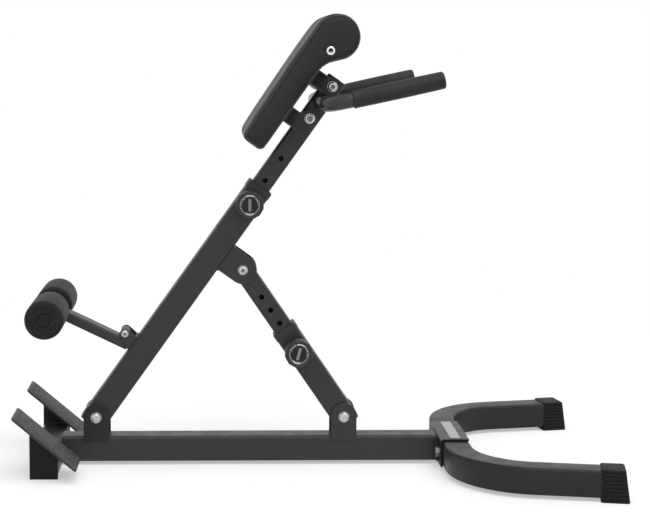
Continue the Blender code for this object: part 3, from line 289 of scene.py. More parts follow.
class Look:
    """The nodes of a material or a sky, with short ways to add to them."""

    def __init__(self, owner):
        owner.use_nodes = True
        self.owner = owner
        self.tree = owner.node_tree

    def feed(self, socket, value):
        """Links a socket to another, or sets it to a constant."""
        if isinstance(value, bpy.types.NodeSocket):
            self.tree.links.new(value, socket)
        else:
            socket.default_value = value

    def add(self, kind, settings=None, **inputs):
        """A node with its settings, and its inputs by name, or by number after a low line."""
        made = self.tree.nodes.new("ShaderNode" + kind)
        for key, value in (settings or {}).items():
            setattr(made, key, value)
        for key, value in inputs.items():
            self.feed(made.inputs[int(key[1:]) if key[0] == "_" else key.replace("_", " ")], value)
        return made

    def find_place(self):
        """Makes the look's place in metres."""
        self.place = self.add("TexCoord").outputs["Object"]

    def noise(self, scale, detail=3.0, roughness=0.55, distortion=0.0, place=None):
        """Noise between 0 and 1, with its scale in waves to the metre."""
        return self.add("TexNoise", Vector=self.place if place is None else place, Scale=scale,
                        Detail=detail, Roughness=roughness, Distortion=distortion).outputs["Fac"]

    def cells(self, scale, feature="F1", place=None, **inputs):
        """Distances in a pattern of cells."""
        return self.add("TexVoronoi", {"feature": feature}, Vector=self.place if place is None else place,
                        Scale=scale, **inputs).outputs["Distance"]

    def between(self, value, low, high, to_low=0.0, to_high=1.0):
        """Maps a value from one range to another, held at the ends."""
        return self.add("MapRange", {"interpolation_type": "SMOOTHSTEP"}, _0=value, _1=low, _2=high,
                        _3=to_low, _4=to_high).outputs[0]

    def vary(self, value, low, high):
        """Spreads the middle of a noise over a range."""
        return self.between(value, 0.3, 0.7, low, high)

    def blend(self, share, first, second):
        """A colour between two, each a socket or three numbers; of two numbers the first is red and green."""
        mixer = self.add("Mix", {"data_type": "RGBA"}, Factor=share)
        for socket, value in ((mixer.inputs[6], first), (mixer.inputs[7], second)):
            if isinstance(value, tuple):
                value = (*value[:1], *value[-2:], 1.0)
            self.feed(socket, value)
        return mixer.outputs[2]

    def calculate(self, operation, first, second=0.0, third=0.0):
        """One step of arithmetic on sockets or numbers."""
        return self.add("Math", {"operation": operation}, _0=first, _1=second, _2=third).outputs[0]

    def times(self, *values):
        """The product of sockets and numbers."""
        product = values[0]
        for value in values[1:]:
            product = self.calculate("MULTIPLY", product, value)
        return product

    def combine(self, operation, first, second):
        """One step of arithmetic on vectors."""
        return self.add("VectorMath", {"operation": operation}, _0=first, _1=second).outputs

    def worn_edges(self, radius, strength):
        """A mask of the given strength on sharp edges, fading to 0 on flat faces."""
        rounded = self.add("Bevel", {"samples": 6}, Radius=radius).outputs[0]
        flat = self.add("NewGeometry").outputs["True Normal"]
        match = self.combine("DOT_PRODUCT", rounded, flat)["Value"]
        return self.between(match, 0.995, 0.80, 0.0, strength)

    def seen_directly(self):
        """1 for what the camera, a mirror or glass shows, 0 for what only lights the bench."""
        seen = self.add("LightPath").outputs
        direct = self.calculate("MAXIMUM", seen["Is Camera Ray"], seen["Is Glossy Ray"])
        return self.calculate("MAXIMUM", direct, seen["Is Transmission Ray"])

    def finish(self, colour, roughness, height, distance, strength=1.0):
        """Links colour, roughness and bump to the shader, and gives the material back."""
        bump = self.add("Bump", Height=height, Distance=distance, Strength=strength).outputs["Normal"]
        for key, value in (("Base Color", colour), ("Roughness", roughness), ("Normal", bump)):
            self.feed(self.shader.inputs[key], value)
        return self.owner


def new_look(name, **settings):
    """Nodes of a new material, with constants on its shader's sockets."""
    look = Look(bpy.data.materials.new(name))
    look.find_place()
    look.shader = look.tree.nodes["Principled BSDF"]
    for key, value in settings.items():
        look.shader.inputs[key.replace("_", " ")].default_value = value
    return look


def one_grain(name, grain, dark, pale, smooth, dull, distance, strength, **settings):
    """A material whose colour, roughness and relief all follow one noise."""
    look = new_look(name, **settings)
    grain = look.noise(*grain)
    colour = look.blend(grain, dark, pale)
    return look.finish(colour, look.vary(grain, smooth, dull), grain, distance, strength)


def powder_coat_material(name="black_powder_coat_detailed", tone=1.0, gloss=0.44, smooth=0.36):
    """Black satin powder coat: orange peel, faint clouding and paler, rubbed edges; a tone below 1 makes a
    darker copy as painted shade.
    """
    look = new_look(name, Specular_IOR_Level=gloss)
    colour = look.blend(look.noise(9.0, 4.0), (0.0120 * tone, 0.0126 * tone), (0.0200 * tone, 0.0207 * tone))
    flecks = look.between(look.noise(1400.0, 1.0), 0.60, 0.80, 0.0, 0.5)
    colour = look.blend(flecks, colour, (0.036 * tone, 0.037 * tone))
    colour = look.blend(look.worn_edges(0.0012, 0.5), colour, (0.050 * tone, 0.052 * tone))
    roughness = look.between(look.noise(30.0, 5.0), 0.25, 0.75, smooth, smooth + 0.14)
    return look.finish(colour, roughness, look.noise(620.0, 2.0), 0.00012, 0.55)


def steel_material():
    """Zinc plated steel: fine turning marks, cloudy sheen and small stains."""
    look = new_look("zinc_steel_detailed", Metallic=1.0)
    colour = look.blend(look.noise(160.0, 4.0), (0.40, 0.42), (0.66, 0.67))
    colour = look.blend(look.between(look.noise(700.0), 0.58, 0.74, 0.0, 0.55), colour, (0.30, 0.29, 0.28))
    roughness = look.vary(look.noise(420.0, 4.0), 0.20, 0.38)
    return look.finish(colour, roughness, look.noise(2600.0, 2.0, distortion=1.5), 0.00004, 0.6)


def chrome_material():
    """Polished nickel of the vent eyelets, with fine haze."""
    look = new_look("chrome_detailed", Metallic=1.0)
    haze = look.noise(500.0, 4.0)
    colour = look.blend(haze, (0.62, 0.63), (0.78, 0.79))
    return look.finish(colour, look.vary(haze, 0.08, 0.20), look.noise(1800.0, 2.0), 0.00002, 0.4)


def rubber_material():
    """Black rubber with a fine matt grain and dusty high spots."""
    look = new_look("black_rubber_detailed", Specular_IOR_Level=0.20)
    dust = look.between(look.noise(26.0, 6.0), 0.45, 0.75, 0.0, 0.6)
    colour = look.blend(dust, (0.0066, 0.0070), (0.0160, 0.0156, 0.0152))
    colour = look.blend(look.worn_edges(0.0010, 0.6), colour, (0.040, 0.040))
    roughness = look.vary(look.noise(240.0, 4.0), 0.52, 0.74)
    return look.finish(colour, roughness, look.noise(1500.0), 0.00010, 0.7)


def plastic_material():
    """Moulded black plastic with a fine spark texture."""
    look = new_look("black_plastic_detailed", Specular_IOR_Level=0.46)
    colour = look.blend(look.noise(45.0, 4.0), (0.0120, 0.0130), (0.0220, 0.0235))
    colour = look.blend(look.worn_edges(0.0008, 0.5), colour, (0.050, 0.052))
    roughness = look.vary(look.noise(380.0), 0.40, 0.56)
    return look.finish(colour, roughness, look.noise(2200.0, 2.0), 0.00006, 0.6)


def foam_material():
    """Closed cell foam of the rollers: fine cells, scuffs and a soft dark face."""
    look = new_look("black_foam_detailed", Specular_IOR_Level=0.25, Sheen_Weight=0.08, Sheen_Roughness=0.5)
    cells = look.cells(900.0, "SMOOTH_F1", Smoothness=0.6)
    scuffs = look.between(look.noise(38.0, 6.0, 0.62), 0.45, 0.72, 0.0, 0.7)
    colour = look.blend(scuffs, (0.0110, 0.0115), (0.024, 0.0245))
    colour = look.blend(look.between(cells, 0.0, 0.35, 0.5, 0.0), colour, (0.004, 0.004))
    return look.finish(colour, look.vary(look.noise(300.0, 4.0), 0.66, 0.84), cells, 0.00030, 0.6)


def leather_material():
    """Black leatherette: pebbled grain, faint stretch marks and a rubbed sheen."""
    look = new_look("black_leatherette_detailed", Specular_IOR_Level=0.34, Sheen_Weight=0.04,
                    Sheen_Roughness=0.4)
    drift = look.add("TexNoise", Vector=look.place, Scale=190.0).outputs["Color"]
    warped = look.combine("ADD", look.place, drift)[0]
    pebbles = look.between(look.cells(520.0, "DISTANCE_TO_EDGE", warped), 0.0, 0.22)
    colour = look.blend(look.noise(14.0, 5.0), (0.0068, 0.0073), (0.0140, 0.0148))
    colour = look.blend(pebbles, (0.0030, 0.0032), colour)
    rubbed = look.between(look.noise(22.0, 4.0), 0.35, 0.7)
    roughness = look.calculate("MULTIPLY_ADD", rubbed, 0.10, 0.40)
    height = look.calculate("MULTIPLY_ADD", look.noise(70.0), 1.2, pebbles)
    return look.finish(colour, roughness, height, 0.00012, 0.6)


def backing_material():
    """Black non-woven cloth under the pads, with crossing fibres."""
    look = new_look("black_backing_cloth", Specular_IOR_Level=0.15)
    fibres = look.noise(800.0, 6.0, 0.7, 2.5)
    colour = look.blend(fibres, (0.008, 0.009), (0.030, 0.031))
    return look.finish(colour, look.vary(fibres, 0.80, 0.95), look.cells(650.0), 0.0002, 0.6)


def tread_material():
    """Grey anti-slip coat of the footplates: grit, darker rubbed patches and pale edges."""
    look = new_look("grey_tread_detailed", Specular_IOR_Level=0.25)
    grains = look.between(look.cells(420.0), 0.10, 0.55, 1.0, 0.0)
    tone = look.between(look.noise(230.0, 5.0, 0.75), 0.42, 0.62)
    colour = look.blend(tone, (0.028, 0.030), (0.215, 0.220))
    patches = look.between(look.noise(18.0, 5.0), 0.4, 0.75, 0.0, 0.55)
    colour = look.blend(patches, colour, (0.055, 0.057))
    colour = look.blend(look.worn_edges(0.0012, 0.5), colour, (0.22, 0.22))
    return look.finish(colour, look.between(tone, 0.0, 1.0, 0.62, 0.80), grains, 0.0004, 0.8)


def grip_material():
    """Foam rubber of the grips, finely pored."""
    look = new_look("grip_rubber_detailed", Specular_IOR_Level=0.35)
    pores = look.noise(1300.0)
    smears = look.between(look.noise(40.0, 5.0), 0.4, 0.7)
    colour = look.blend(smears, (0.0100, 0.0105), (0.0190, 0.0195))
    return look.finish(colour, look.vary(pores, 0.48, 0.62), pores, 0.00012, 0.7)


def badge_material():
    """Bare brushed plate, dark anodised."""
    look = new_look("bare_plate_detailed", Metallic=0.6)
    stretched = look.combine("MULTIPLY", look.place, (1.0, 0.02, 1.0))[0]
    streaks = look.noise(2200.0, place=stretched)
    colour = look.blend(streaks, (0.34, 0.345), (0.50, 0.505))
    return look.finish(colour, look.vary(streaks, 0.32, 0.46), streaks, 0.00002, 0.5)


def knob_print_material(name, centre, lean):
    """Knob face: a dark disc with a plain bar, inside a printed ring of arcs and ticks."""
    look = new_look(name, Specular_IOR_Level=0.25)
    calculate = look.calculate
    parts = look.add("SeparateXYZ", Vector=look.combine("SUBTRACT", look.place, tuple(centre))[0]).outputs
    x = parts["X"]
    z = parts["Z"]
    radius = calculate("SQRT", calculate("MULTIPLY_ADD", z, z, look.times(x, x)))
    angle = calculate("SUBTRACT", calculate("ARCTAN2", z, x), lean)
    sine = calculate("SINE", angle)

    def sector_share(count):
        """Share of the way through one of a count of equal sectors."""
        return calculate("FRACT", calculate("MULTIPLY_ADD", angle, count / (2 * math.pi), 50.0))

    def ring_from(inner):
        """1 from a radius out to the print's edge."""
        return look.times(calculate("GREATER_THAN", radius, inner),
                          calculate("LESS_THAN", radius, KNOB_RING_OUTER))

    tick = calculate("LESS_THAN", sector_share(KNOB_TICKS), 0.50)
    shorter = calculate("GREATER_THAN", sector_share(KNOB_TICK_GROUPS), 0.45)
    ring = ring_from(calculate("MULTIPLY_ADD", shorter, KNOB_SHORT_TICK, KNOB_RING_INNER))
    ticks = look.times(tick, ring, 0.62)
    at_sides = calculate("GREATER_THAN", calculate("ABSOLUTE", sine), 0.91)
    arcs = look.times(at_sides, ring_from(KNOB_RING_OUTER - KNOB_ARC_WIDTH))
    sideways = look.times(radius, calculate("COSINE", angle))
    along_bar = calculate("COMPARE", look.times(radius, sine), 0.0, KNOB_BAR_HALF_LENGTH)
    across_bar = calculate("COMPARE", sideways, 0.0, KNOB_BAR_HALF_WIDTH)
    bar = look.times(along_bar, across_bar, 0.34)
    smear = look.between(look.noise(900.0, 4.0), 0.30, 0.62, 0.70, 1.0)
    printed = look.times(calculate("MAXIMUM", calculate("MAXIMUM", ticks, arcs), bar), smear)
    colour = look.blend(look.noise(60.0, 4.0), (0.012, 0.013), (0.020, 0.021))
    colour = look.blend(calculate("LESS_THAN", radius, KNOB_DISC_RADIUS), colour, (0.009, 0.011, 0.014))
    colour = look.blend(printed, colour, (0.86, 0.87))
    roughness = look.vary(look.noise(380.0), 0.40, 0.54)
    return look.finish(colour, roughness, look.noise(1800.0, 2.0), 0.00005, 0.5)


powder_coat = powder_coat_material()
# A darker copy of the powder coat, as painted shade on the front tube and the pivot ears
painted_shade_coat = powder_coat_material("black_coat_painted_shade", 0.75, 0.31)
# A still darker copy, as painted shade on the rear end plates and on the front bracket's flange and cut ends
painted_deep_shade_coat = powder_coat_material("black_coat_painted_deep_shade", 0.50, 0.18, 0.42)
glossy_coat = powder_coat_material("black_glossy_coat_detailed", 1.0, 0.52, 0.24)
steel = steel_material()
chrome = chrome_material()
rubber = rubber_material()
plastic = plastic_material()
foam = foam_material()
leather = leather_material()
backing = backing_material()
tread = tread_material()
grip_rubber = grip_material()
badge = badge_material()
# Steel darkened as painted shade: in the bolts' sockets, on the front bolts and on the vent discs
painted_shade_steel = one_grain("steel_painted_shade", (900.0, 4.0), (0.13, 0.135), (0.30, 0.305), 0.42, 0.62,
                         0.00004, 0.5, Metallic=1.0)
# Black sewing thread, twisted
thread = one_grain("black_thread_detailed", (2400.0, 2.0), (0.016, 0.017), (0.050, 0.052), 0.40, 0.60,
                   0.00006, 0.7, Specular_IOR_Level=0.45)
# Seam piping in the cover's own black, a little glossier
piping = one_grain("black_piping_detailed", (900.0, 3.0), (0.014, 0.015), (0.028, 0.029), 0.34, 0.48,
                   0.00008, 0.7, Specular_IOR_Level=0.5)
# Edge of the pad boards: pale plies with grain
plywood = one_grain("plywood_detailed", (60.0, 6.0, 0.6, 3.0), (0.30, 0.20, 0.11), (0.50, 0.36, 0.21),
                    0.6, 0.8, 0.0003, 0.5)
# Powder coat over weld beads, a little glossier on the ripples
weld_coat = one_grain("black_weld_coat_detailed", (700.0, 4.0), (0.0085, 0.0090), (0.0190, 0.0195),
                      0.34, 0.50, 0.00015, 0.7, Specular_IOR_Level=0.42)

looks = {"powder_coat": powder_coat, "steel": steel, "chrome": chrome, "rubber": rubber,
         "plastic": plastic, "foam": foam, "leatherette": leather, "plywood": plywood, "tread": tread}


def dress_nodes():
    """Gives every node of the frame the detailed material of its slot, and a few nodes another one: darker
    copies as painted shade on the end plates, pivot ears and front bolts.
    """
    for part in frame["record"]["subparts"]:
        mesh = nodes[part["node"]].data
        for index in range(len(mesh.materials)):
            mesh.materials[index] = looks[part["material_slot"]]
    for label, _ in SIDES:
        for node, look in (("rear_end_plate_", painted_deep_shade_coat), ("main_pivot_ear_", painted_shade_coat),
                           ("front_bolt_", painted_shade_steel), ("footplate_", powder_coat)):
            nodes[node + label].data.materials[0] = look


dress_nodes()

# Mesh pieces


def add_object(name, data):
    """A new object in the scene."""
    made = bpy.data.objects.new(name, data)
    bpy.context.scene.collection.objects.link(made)
    return made


def solid_object(name, form):
    """An object made of a bmesh, with its faces turned outwards."""
    bmesh.ops.recalc_face_normals(form, faces=form.faces)
    mesh = bpy.data.meshes.new(name)
    form.to_mesh(mesh)
    form.free()
    return add_object(name, mesh)


def piece(name, form, look, body, sharp=35.0):
    """Turns a bmesh into a piece that rides on a body."""
    made = solid_object(name, form)
    made.data.shade_smooth()
    made.data.set_sharp_from_angle(angle=math.radians(sharp))
    made.data.materials.append(look)
    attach(made, body)
    return made


def paint(made, look, chosen):
    """Gives the faces that a test chooses a second material."""
    made.data.materials.append(look)
    for polygon in made.data.polygons:
        if chosen(polygon):
            polygon.material_index = 1


def apply_modifiers(target):
    """Replaces a piece's mesh with what its modifiers make of it."""
    graph = bpy.context.evaluated_depsgraph_get()
    result = bpy.data.meshes.new_from_object(target.evaluated_get(graph))
    target.modifiers.clear()
    target.data = result


def hollow(target, form):
    """Cuts a closed form out of a piece."""
    cutter = solid_object(target.name + "_cut", form)
    cut = target.modifiers.new("hollow", "BOOLEAN")
    cut.solver = "EXACT"
    cut.object = cutter
    apply_modifiers(target)
    bpy.data.objects.remove(cutter)


def quarter(steps):
    """Sines and cosines over a quarter turn."""
    turns = [math.pi / 2 * step / steps for step in range(steps + 1)]
    return [(math.sin(turn), math.cos(turn)) for turn in turns]


def arc(centre, radius, start, end, steps):
    """Points of an arc, from a start angle to an end angle in degrees."""
    turns = [math.radians(start + (end - start) * step / steps) for step in range(steps + 1)]
    return [(centre[0] + radius * math.cos(turn), centre[1] + radius * math.sin(turn)) for turn in turns]


def rounded_rectangle(width, height, corner):
    """Outline of a rectangle with round corners, centred on zero."""
    outline = []
    for number, (across, up) in enumerate(((1, 1), (-1, 1), (-1, -1), (1, -1))):
        centre = (across * (width / 2 - corner), up * (height / 2 - corner))
        outline += arc(centre, corner, number * 90, number * 90 + 90, 5)
    return outline


def spokes(axis, count, side=None):
    """Unit vectors round an axis, evenly spaced."""
    side = axis.orthogonal().normalized() if side is None else side
    other = axis.cross(side)
    turns = [2 * math.pi * step / count for step in range(count)]
    return [side * math.cos(turn) + other * math.sin(turn) for turn in turns]


def join_rings(form, rings, looped=False, capped=False):
    """Skins a stack of rings; a ring of one vertex is a tip."""
    pairs = list(zip(rings, rings[1:]))
    if looped:
        pairs.append((rings[-1], rings[0]))
    for first, second in pairs:
        count = max(len(first), len(second))
        for index in range(count):
            following = (index + 1) % count
            if len(first) == 1:
                form.faces.new((first[0], second[index], second[following]))
            elif len(second) == 1:
                form.faces.new((second[0], first[index], first[following]))
            else:
                form.faces.new((first[index], first[following], second[following], second[index]))
    if capped:
        form.faces.new(rings[0])
        form.faces.new(rings[-1])


def closed_form(rings):
    """A bmesh through rings of places, with flat ends."""
    form = bmesh.new()
    join_rings(form, [[form.verts.new(place) for place in ring] for ring in rings], capped=True)
    return form


def turned_rings(form, profile, origin, axis, count, wobble=None):
    """Rings of a turned form; the profile is (along, radius), and a radius of zero makes a tip."""
    around = spokes(axis, count)
    rings = []
    for along, radius in profile:
        centre = origin + axis * along
        if radius == 0.0:
            rings.append([form.verts.new(centre)])
            continue
        reaches = [radius + (wobble(2 * math.pi * index / count, along) if wobble else 0.0)
                   for index in range(count)]
        rings.append([form.verts.new(centre + spoke * reach) for spoke, reach in zip(around, reaches)])
    return rings


def turned_form(profile, origin, axis, count, closed=False, wobble=None):
    """A turned form as a bmesh."""
    form = bmesh.new()
    join_rings(form, turned_rings(form, profile, origin, axis, count, wobble), closed)
    return form


def swept_tube(form, path, radius, count, closed=False, thickness=None):
    """Adds a round bar along a path of points; thickness gives a share of the radius at each."""
    rings = []
    total = len(path)
    side = None
    for index, place in enumerate(path):
        before = path[index - 1] if index or closed else path[0]
        after = path[(index + 1) % total] if index < total - 1 or closed else path[-1]
        ahead = (after - before).normalized()
        side = ahead.orthogonal() if side is None else side - ahead * side.dot(ahead)
        side.normalize()
        reach = radius * (thickness(index / total) if thickness else 1.0)
        rings.append([form.verts.new(place + spoke * reach) for spoke in spokes(ahead, count, side)])
    join_rings(form, rings, capped=not closed)
    if closed:
        shift = min(range(count), key=lambda step: (rings[0][step].co - rings[-1][0].co).length)
        join_rings(form, [rings[-1], rings[0][shift:] + rings[0][:shift]])


def swept_outline(form, path, outline):
    """Adds a skin of an outline along a level path, open at its ends; returns its rings."""
    rings = []
    for index, place in enumerate(path):
        side = UP.cross(path[min(index + 1, len(path) - 1)] - path[max(index - 1, 0)]).normalized()
        rings.append([form.verts.new(place + side * across + UP * high) for across, high in outline])
    join_rings(form, rings)
    return rings


def layered_plate(middle, along, across, up, size, corner, levels):
    """A flat form with round corners, drawn in by an inset at each (height, inset) of its levels."""
    rings = []
    for height, inset in levels:
        outline = rounded_rectangle(size[0] - 2 * inset, size[1] - 2 * inset, corner)
        rings.append([middle + along * x + across * y + up * height for x, y in outline])
    return closed_form(rings)


def weld(name, runs, body, radius=WELD_RADIUS):
    """A rippled weld bead along each run of corner points."""
    form = bmesh.new()
    for corners, closed in runs:
        stops = corners + corners[:1] if closed else corners
        path = []
        for start, end in zip(stops, stops[1:]):
            steps = max(2, round((end - start).length / (WELD_PITCH / 4)))
            path += [start.lerp(end, step / steps) for step in range(steps)]
        if not closed:
            path.append(stops[-1])
        turns = 2 * math.pi * max(3, len(path) // 4)
        swept_tube(form, path, radius, 8, closed=closed,
                   thickness=lambda share, turns=turns: 1.0 + WELD_RIPPLE * math.sin(turns * share))
    piece(name, form, weld_coat, body, 80.0)


def weld_ring(name, centre, reach, body, radius=RING_WELD_RADIUS):
    """A weld bead round a pin or a tube that lies across the bench."""
    count = max(24, round(2 * math.pi * reach / (WELD_PITCH / 2)))
    weld(name, [([centre + spoke * reach for spoke in spokes(ACROSS, count)], True)], body, radius)


# Front tube, its caps and bracket, and the footplates' sheets


def front_tube():
    """The front U, a bent square tube in one smooth sweep; returns its right and left end."""
    low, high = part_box("front_u_tube")
    bend_centre = (low.x + FRAME_TUBE / 2 + FRONT_BEND_RADIUS, FRONT_STRAIGHT / 2)
    left = arc(bend_centre, FRONT_BEND_RADIUS, 180, 90 + math.degrees(FRONT_FLARE), 40)
    left.append((left[-1][0] + FRONT_LEG * math.cos(FRONT_FLARE),
                 left[-1][1] + FRONT_LEG * math.sin(FRONT_FLARE)))
    flat = [(x, -y) for x, y in reversed(left)] + left
    path = [Vector((x, y, (low.z + high.z) / 2)) for x, y in flat]
    form = bmesh.new()
    bore = FRAME_TUBE - 2 * FRAME_WALL
    outer = swept_outline(form, path, rounded_rectangle(FRAME_TUBE, FRAME_TUBE, TUBE_CORNER))
    inner = swept_outline(form, path, rounded_rectangle(bore, bore, TUBE_CORNER - FRAME_WALL / 2))
    for end in (0, -1):
        join_rings(form, [outer[end], inner[end]])
    # The tube's coat is darkened as painted shade
    made = piece("front_tube", form, painted_shade_coat, "base", 40.0)
    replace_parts(made, "front_u_tube")
    return path[0], path[-1]


def end_cap(label, side, tube_end):
    """A rubber foot with grooved sides, a soft crown and a smooth nose that slopes out to the floor."""
    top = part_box("end_cap_" + label)[1].z
    half_width = FRAME_TUBE / 2 + GAP + CAP_WALL
    levels = [(0.0, 0.0012, 0.0), (0.0004, 0.0004, 0.0), (0.0012, 0.0, 0.0)]
    for number in range(CAP_GROOVES):
        middle = top / 2 + (number - (CAP_GROOVES - 1) / 2) * CAP_GROOVE_PITCH
        levels += [(middle + away, 0.0, depth) for away, depth in CAP_GROOVE]
    levels = [level for level in levels if level[0] < top - CAP_CROWN - 0.0004]
    levels += [(top - CAP_CROWN * (1 - sine), CAP_CROWN * (1 - cosine), 0.0) for sine, cosine in quarter(6)]
    outward = Vector((math.cos(FRONT_FLARE), side * math.sin(FRONT_FLARE), 0.0))
    sideways = Vector((-outward.y, outward.x, 0.0))
    foot = Vector((tube_end.x, tube_end.y, 0.0))
    rings = []
    for height, inset, groove in levels:
        nose = CAP_BOTTOM_NOSE + (CAP_TOP_NOSE - CAP_BOTTOM_NOSE) * height / top - inset
        tail = -CAP_GRIP_LENGTH + min(inset, 0.0008)
        outline = rounded_rectangle(nose - tail, 2 * (half_width - inset - groove), TUBE_CORNER)
        centre = foot + outward * ((nose + tail) / 2) + UP * height
        rings.append([centre + outward * x + sideways * y for x, y in outline])
    cap = piece("ribbed_foot_" + label, closed_form(rings), rubber, "base", 40.0)
    form = bmesh.new()
    bore = FRAME_TUBE + 2 * GAP
    path = [tube_end - outward * (CAP_GRIP_LENGTH + CAP_WALL), tube_end + outward * GAP]
    for ring in swept_outline(form, path, rounded_rectangle(bore, bore, TUBE_CORNER)):
        form.faces.new(ring)
    hollow(cap, form)
    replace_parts(cap, "end_cap_" + label)


def grip_sheet(label):
    """The gritty sheet on a footplate, a little inside the plate's edge."""
    low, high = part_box("footplate_" + label)
    normal = Vector((math.sin(FOOTPLATE_ANGLE), 0.0, math.cos(FOOTPLATE_ANGLE)))
    heel = Vector((high.x, (low.y + high.y) / 2, low.z)) - down_slope * FOOTPLATE_LENGTH
    face = span("footplate_" + label, heel, normal)[1]
    middle = heel + down_slope * (FOOTPLATE_LENGTH / 2) + normal * face
    size = (FOOTPLATE_LENGTH - 2 * GRIP_SHEET_INSET, FOOTPLATE_WIDTH - 2 * GRIP_SHEET_INSET)
    levels = ((0.0002, 0.0), (GRIP_SHEET_THICKNESS - 0.0002, 0.0), (GRIP_SHEET_THICKNESS, 0.0003))
    form = layered_plate(middle, down_slope, ACROSS, normal, size, GRIP_SHEET_CORNER, levels)
    piece("grip_sheet_" + label, form, tread, "base")


def bent_bracket():
    """The front bracket with round bends, with painted shade on its flange's rear face and its cut ends."""
    low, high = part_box("front_bracket")
    edge = BRACKET_EDGE
    corner = Vector((low.x, high.z))
    nook = corner + BRACKET_THICKNESS * Vector((1.0, -1.0))
    outer = [corner + BRACKET_OUTER_BEND * Vector((1 - cosine, sine - 1)) for sine, cosine in quarter(6)]
    inner = [nook + BRACKET_INNER_BEND * Vector((1 - sine, cosine - 1)) for sine, cosine in quarter(6)]
    tip = [(high.x - edge, high.z), (high.x, high.z - edge), (high.x, nook.y + edge), (high.x - edge, nook.y)]
    toe = [(nook.x, low.z + edge), (nook.x - edge, low.z), (low.x + edge, low.z), (low.x, low.z + edge)]
    outline = outer + [Vector(place) for place in tip] + inner + [Vector(place) for place in toe]
    rings = []
    for y, inset in ((low.y, edge), (low.y + edge, 0.0), (high.y - edge, 0.0), (high.y, edge)):
        ring = []
        for index, place in enumerate(outline):
            along = outline[(index + 1) % len(outline)] - outline[index - 1]
            drawn_in = place + Vector((along.y, -along.x)).normalized() * inset
            ring.append((drawn_in.x, y, drawn_in.y))
        rings.append(ring)
    made = piece("bent_front_bracket", closed_form(rings), powder_coat, "base")

    def in_painted_shade(face):
        return abs(face.center.y) > high.y - edge or (face.normal.x < -0.9 and face.center.x < low.x + edge)

    # The flange's rear face and the cut ends get a darker coat as painted shade
    paint(made, painted_deep_shade_coat, in_painted_shade)
    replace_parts(made, "front_bracket")


def badge_plate():
    """A bare, slim plate on top of the front bracket."""
    low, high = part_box("front_bracket")
    middle = Vector(((low.x + high.x) / 2 + BADGE_FORWARD, 0.0, high.z))
    levels = ((0.0001, 0.0), (0.0008, 0.0), (0.0011, 0.0003))
    form = layered_plate(middle, FORWARD, ACROSS, UP, (BADGE_WIDTH, BADGE_LENGTH), BADGE_CORNER, levels)
    piece("bare_badge_plate", form, badge, "base")


for (cap_label, cap_side), tube_tip in zip(SIDES, front_tube()):
    end_cap(cap_label, cap_side, tube_tip)
bent_bracket()
badge_plate()

# Handle and grips


def handle_bar():
    """The bent round handle tube through the post."""
    centre = arm_point(HANDLE_ALONG, 0.0, 0.0)
    left = arc((HANDLE_BEND_RADIUS, HANDLE_HALF_SPREAD - HANDLE_BEND_RADIUS), HANDLE_BEND_RADIUS, 180, 90, 24)
    left.append((HANDLE_REACH, HANDLE_HALF_SPREAD))
    flat = [(x, -y) for x, y in reversed(left)] + left
    form = bmesh.new()
    swept_tube(form, [centre + handle_forward * x + ACROSS * y for x, y in flat], HANDLE_RADIUS, 40)
    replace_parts(piece("handle_bar", form, glossy_coat, "post", 50.0), "handle_frame")
    for label, side in SIDES:
        weld_ring("handle_weld_" + label, centre + ACROSS * side * (INNER_TUBE / 2 + 0.0004),
                  HANDLE_RADIUS + 0.0006, "post")


def handle_grip(label, side):
    """A rubber grip with a soft lip, a slight swell and a domed end with a vent."""
    tip = arm_point(HANDLE_ALONG, side * HANDLE_HALF_SPREAD, 0.0) + handle_forward * HANDLE_REACH
    root = GRIP_END - GRIP_LENGTH
    bore = HANDLE_RADIUS + GAP
    body = GRIP_RADIUS - GRIP_WAIST
    profile = [(GAP, 0.0), (GAP, bore), (root + 0.0004, bore), (root, bore + 0.0006),
               (root, GRIP_RADIUS - 0.0010), (root + 0.0006, GRIP_RADIUS - 0.0002),
               (root + 0.0030, GRIP_RADIUS)]
    profile += [(root + 0.005 + (GRIP_LENGTH - GRIP_DOME - 0.0060) * step / 16,
                 body + GRIP_SWELL * math.sin(math.pi * step / 16)) for step in range(17)]
    profile += [(GRIP_END - GRIP_DOME + GRIP_DOME * sine, body - GRIP_DOME * (1 - cosine))
                for sine, cosine in quarter(8)[1:]]
    profile += [(GRIP_END, 0.0030), (GRIP_END - 0.0004, 0.0026), (GRIP_END - 0.0018, 0.0024),
                (GRIP_END - 0.0018, 0.0)]
    grip = piece("rubber_grip_" + label, turned_form(profile, tip, handle_forward, 48), grip_rubber,
                 "post", 50.0)
    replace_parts(grip, "handle_grip_" + label)


handle_bar()
for grip_label, grip_side in SIDES:
    handle_grip(grip_label, grip_side)

# Thigh pads


def pad_outline(inset):
    """Side outline of a pad, drawn in by an inset."""
    roll = (PAD_ROLL_ALONG, PAD_ROLL_OFFSET)
    bottom = PAD_BOTTOM_ALONG + inset
    front_corner = max(PAD_FRONT_CORNER - inset, PAD_LEAST_CORNER)
    back_corner = max(PAD_BACK_CORNER - inset, PAD_LEAST_CORNER)
    front_bottom = (bottom + front_corner, PAD_BOTTOM_FRONT - inset - front_corner)
    back_bottom = (bottom + back_corner, PAD_BOTTOM_BACK + inset + back_corner)
    rise = math.degrees(math.asin((roll[1] + PAD_ROLL_RADIUS - PAD_BOTTOM_FRONT)
                                  / (roll[0] - PAD_BOTTOM_ALONG)))
    back_tilt = math.degrees(math.atan2(PAD_BOTTOM_BACK - PAD_BACK_TOP, hollow_along - PAD_BOTTOM_ALONG))
    touch = math.degrees(hollow_turn)
    outline = arc(back_bottom, back_corner, 270 - back_tilt, 180, 8)
    outline += arc(front_bottom, front_corner, 180, 90 + rise, 8)
    outline += arc(roll, PAD_ROLL_RADIUS - inset, 90 + rise, touch - 180, 36)
    outline += arc((hollow_along, hollow_offset), PAD_FILLET_RADIUS + inset, touch, 90, 12)[1:]
    return outline


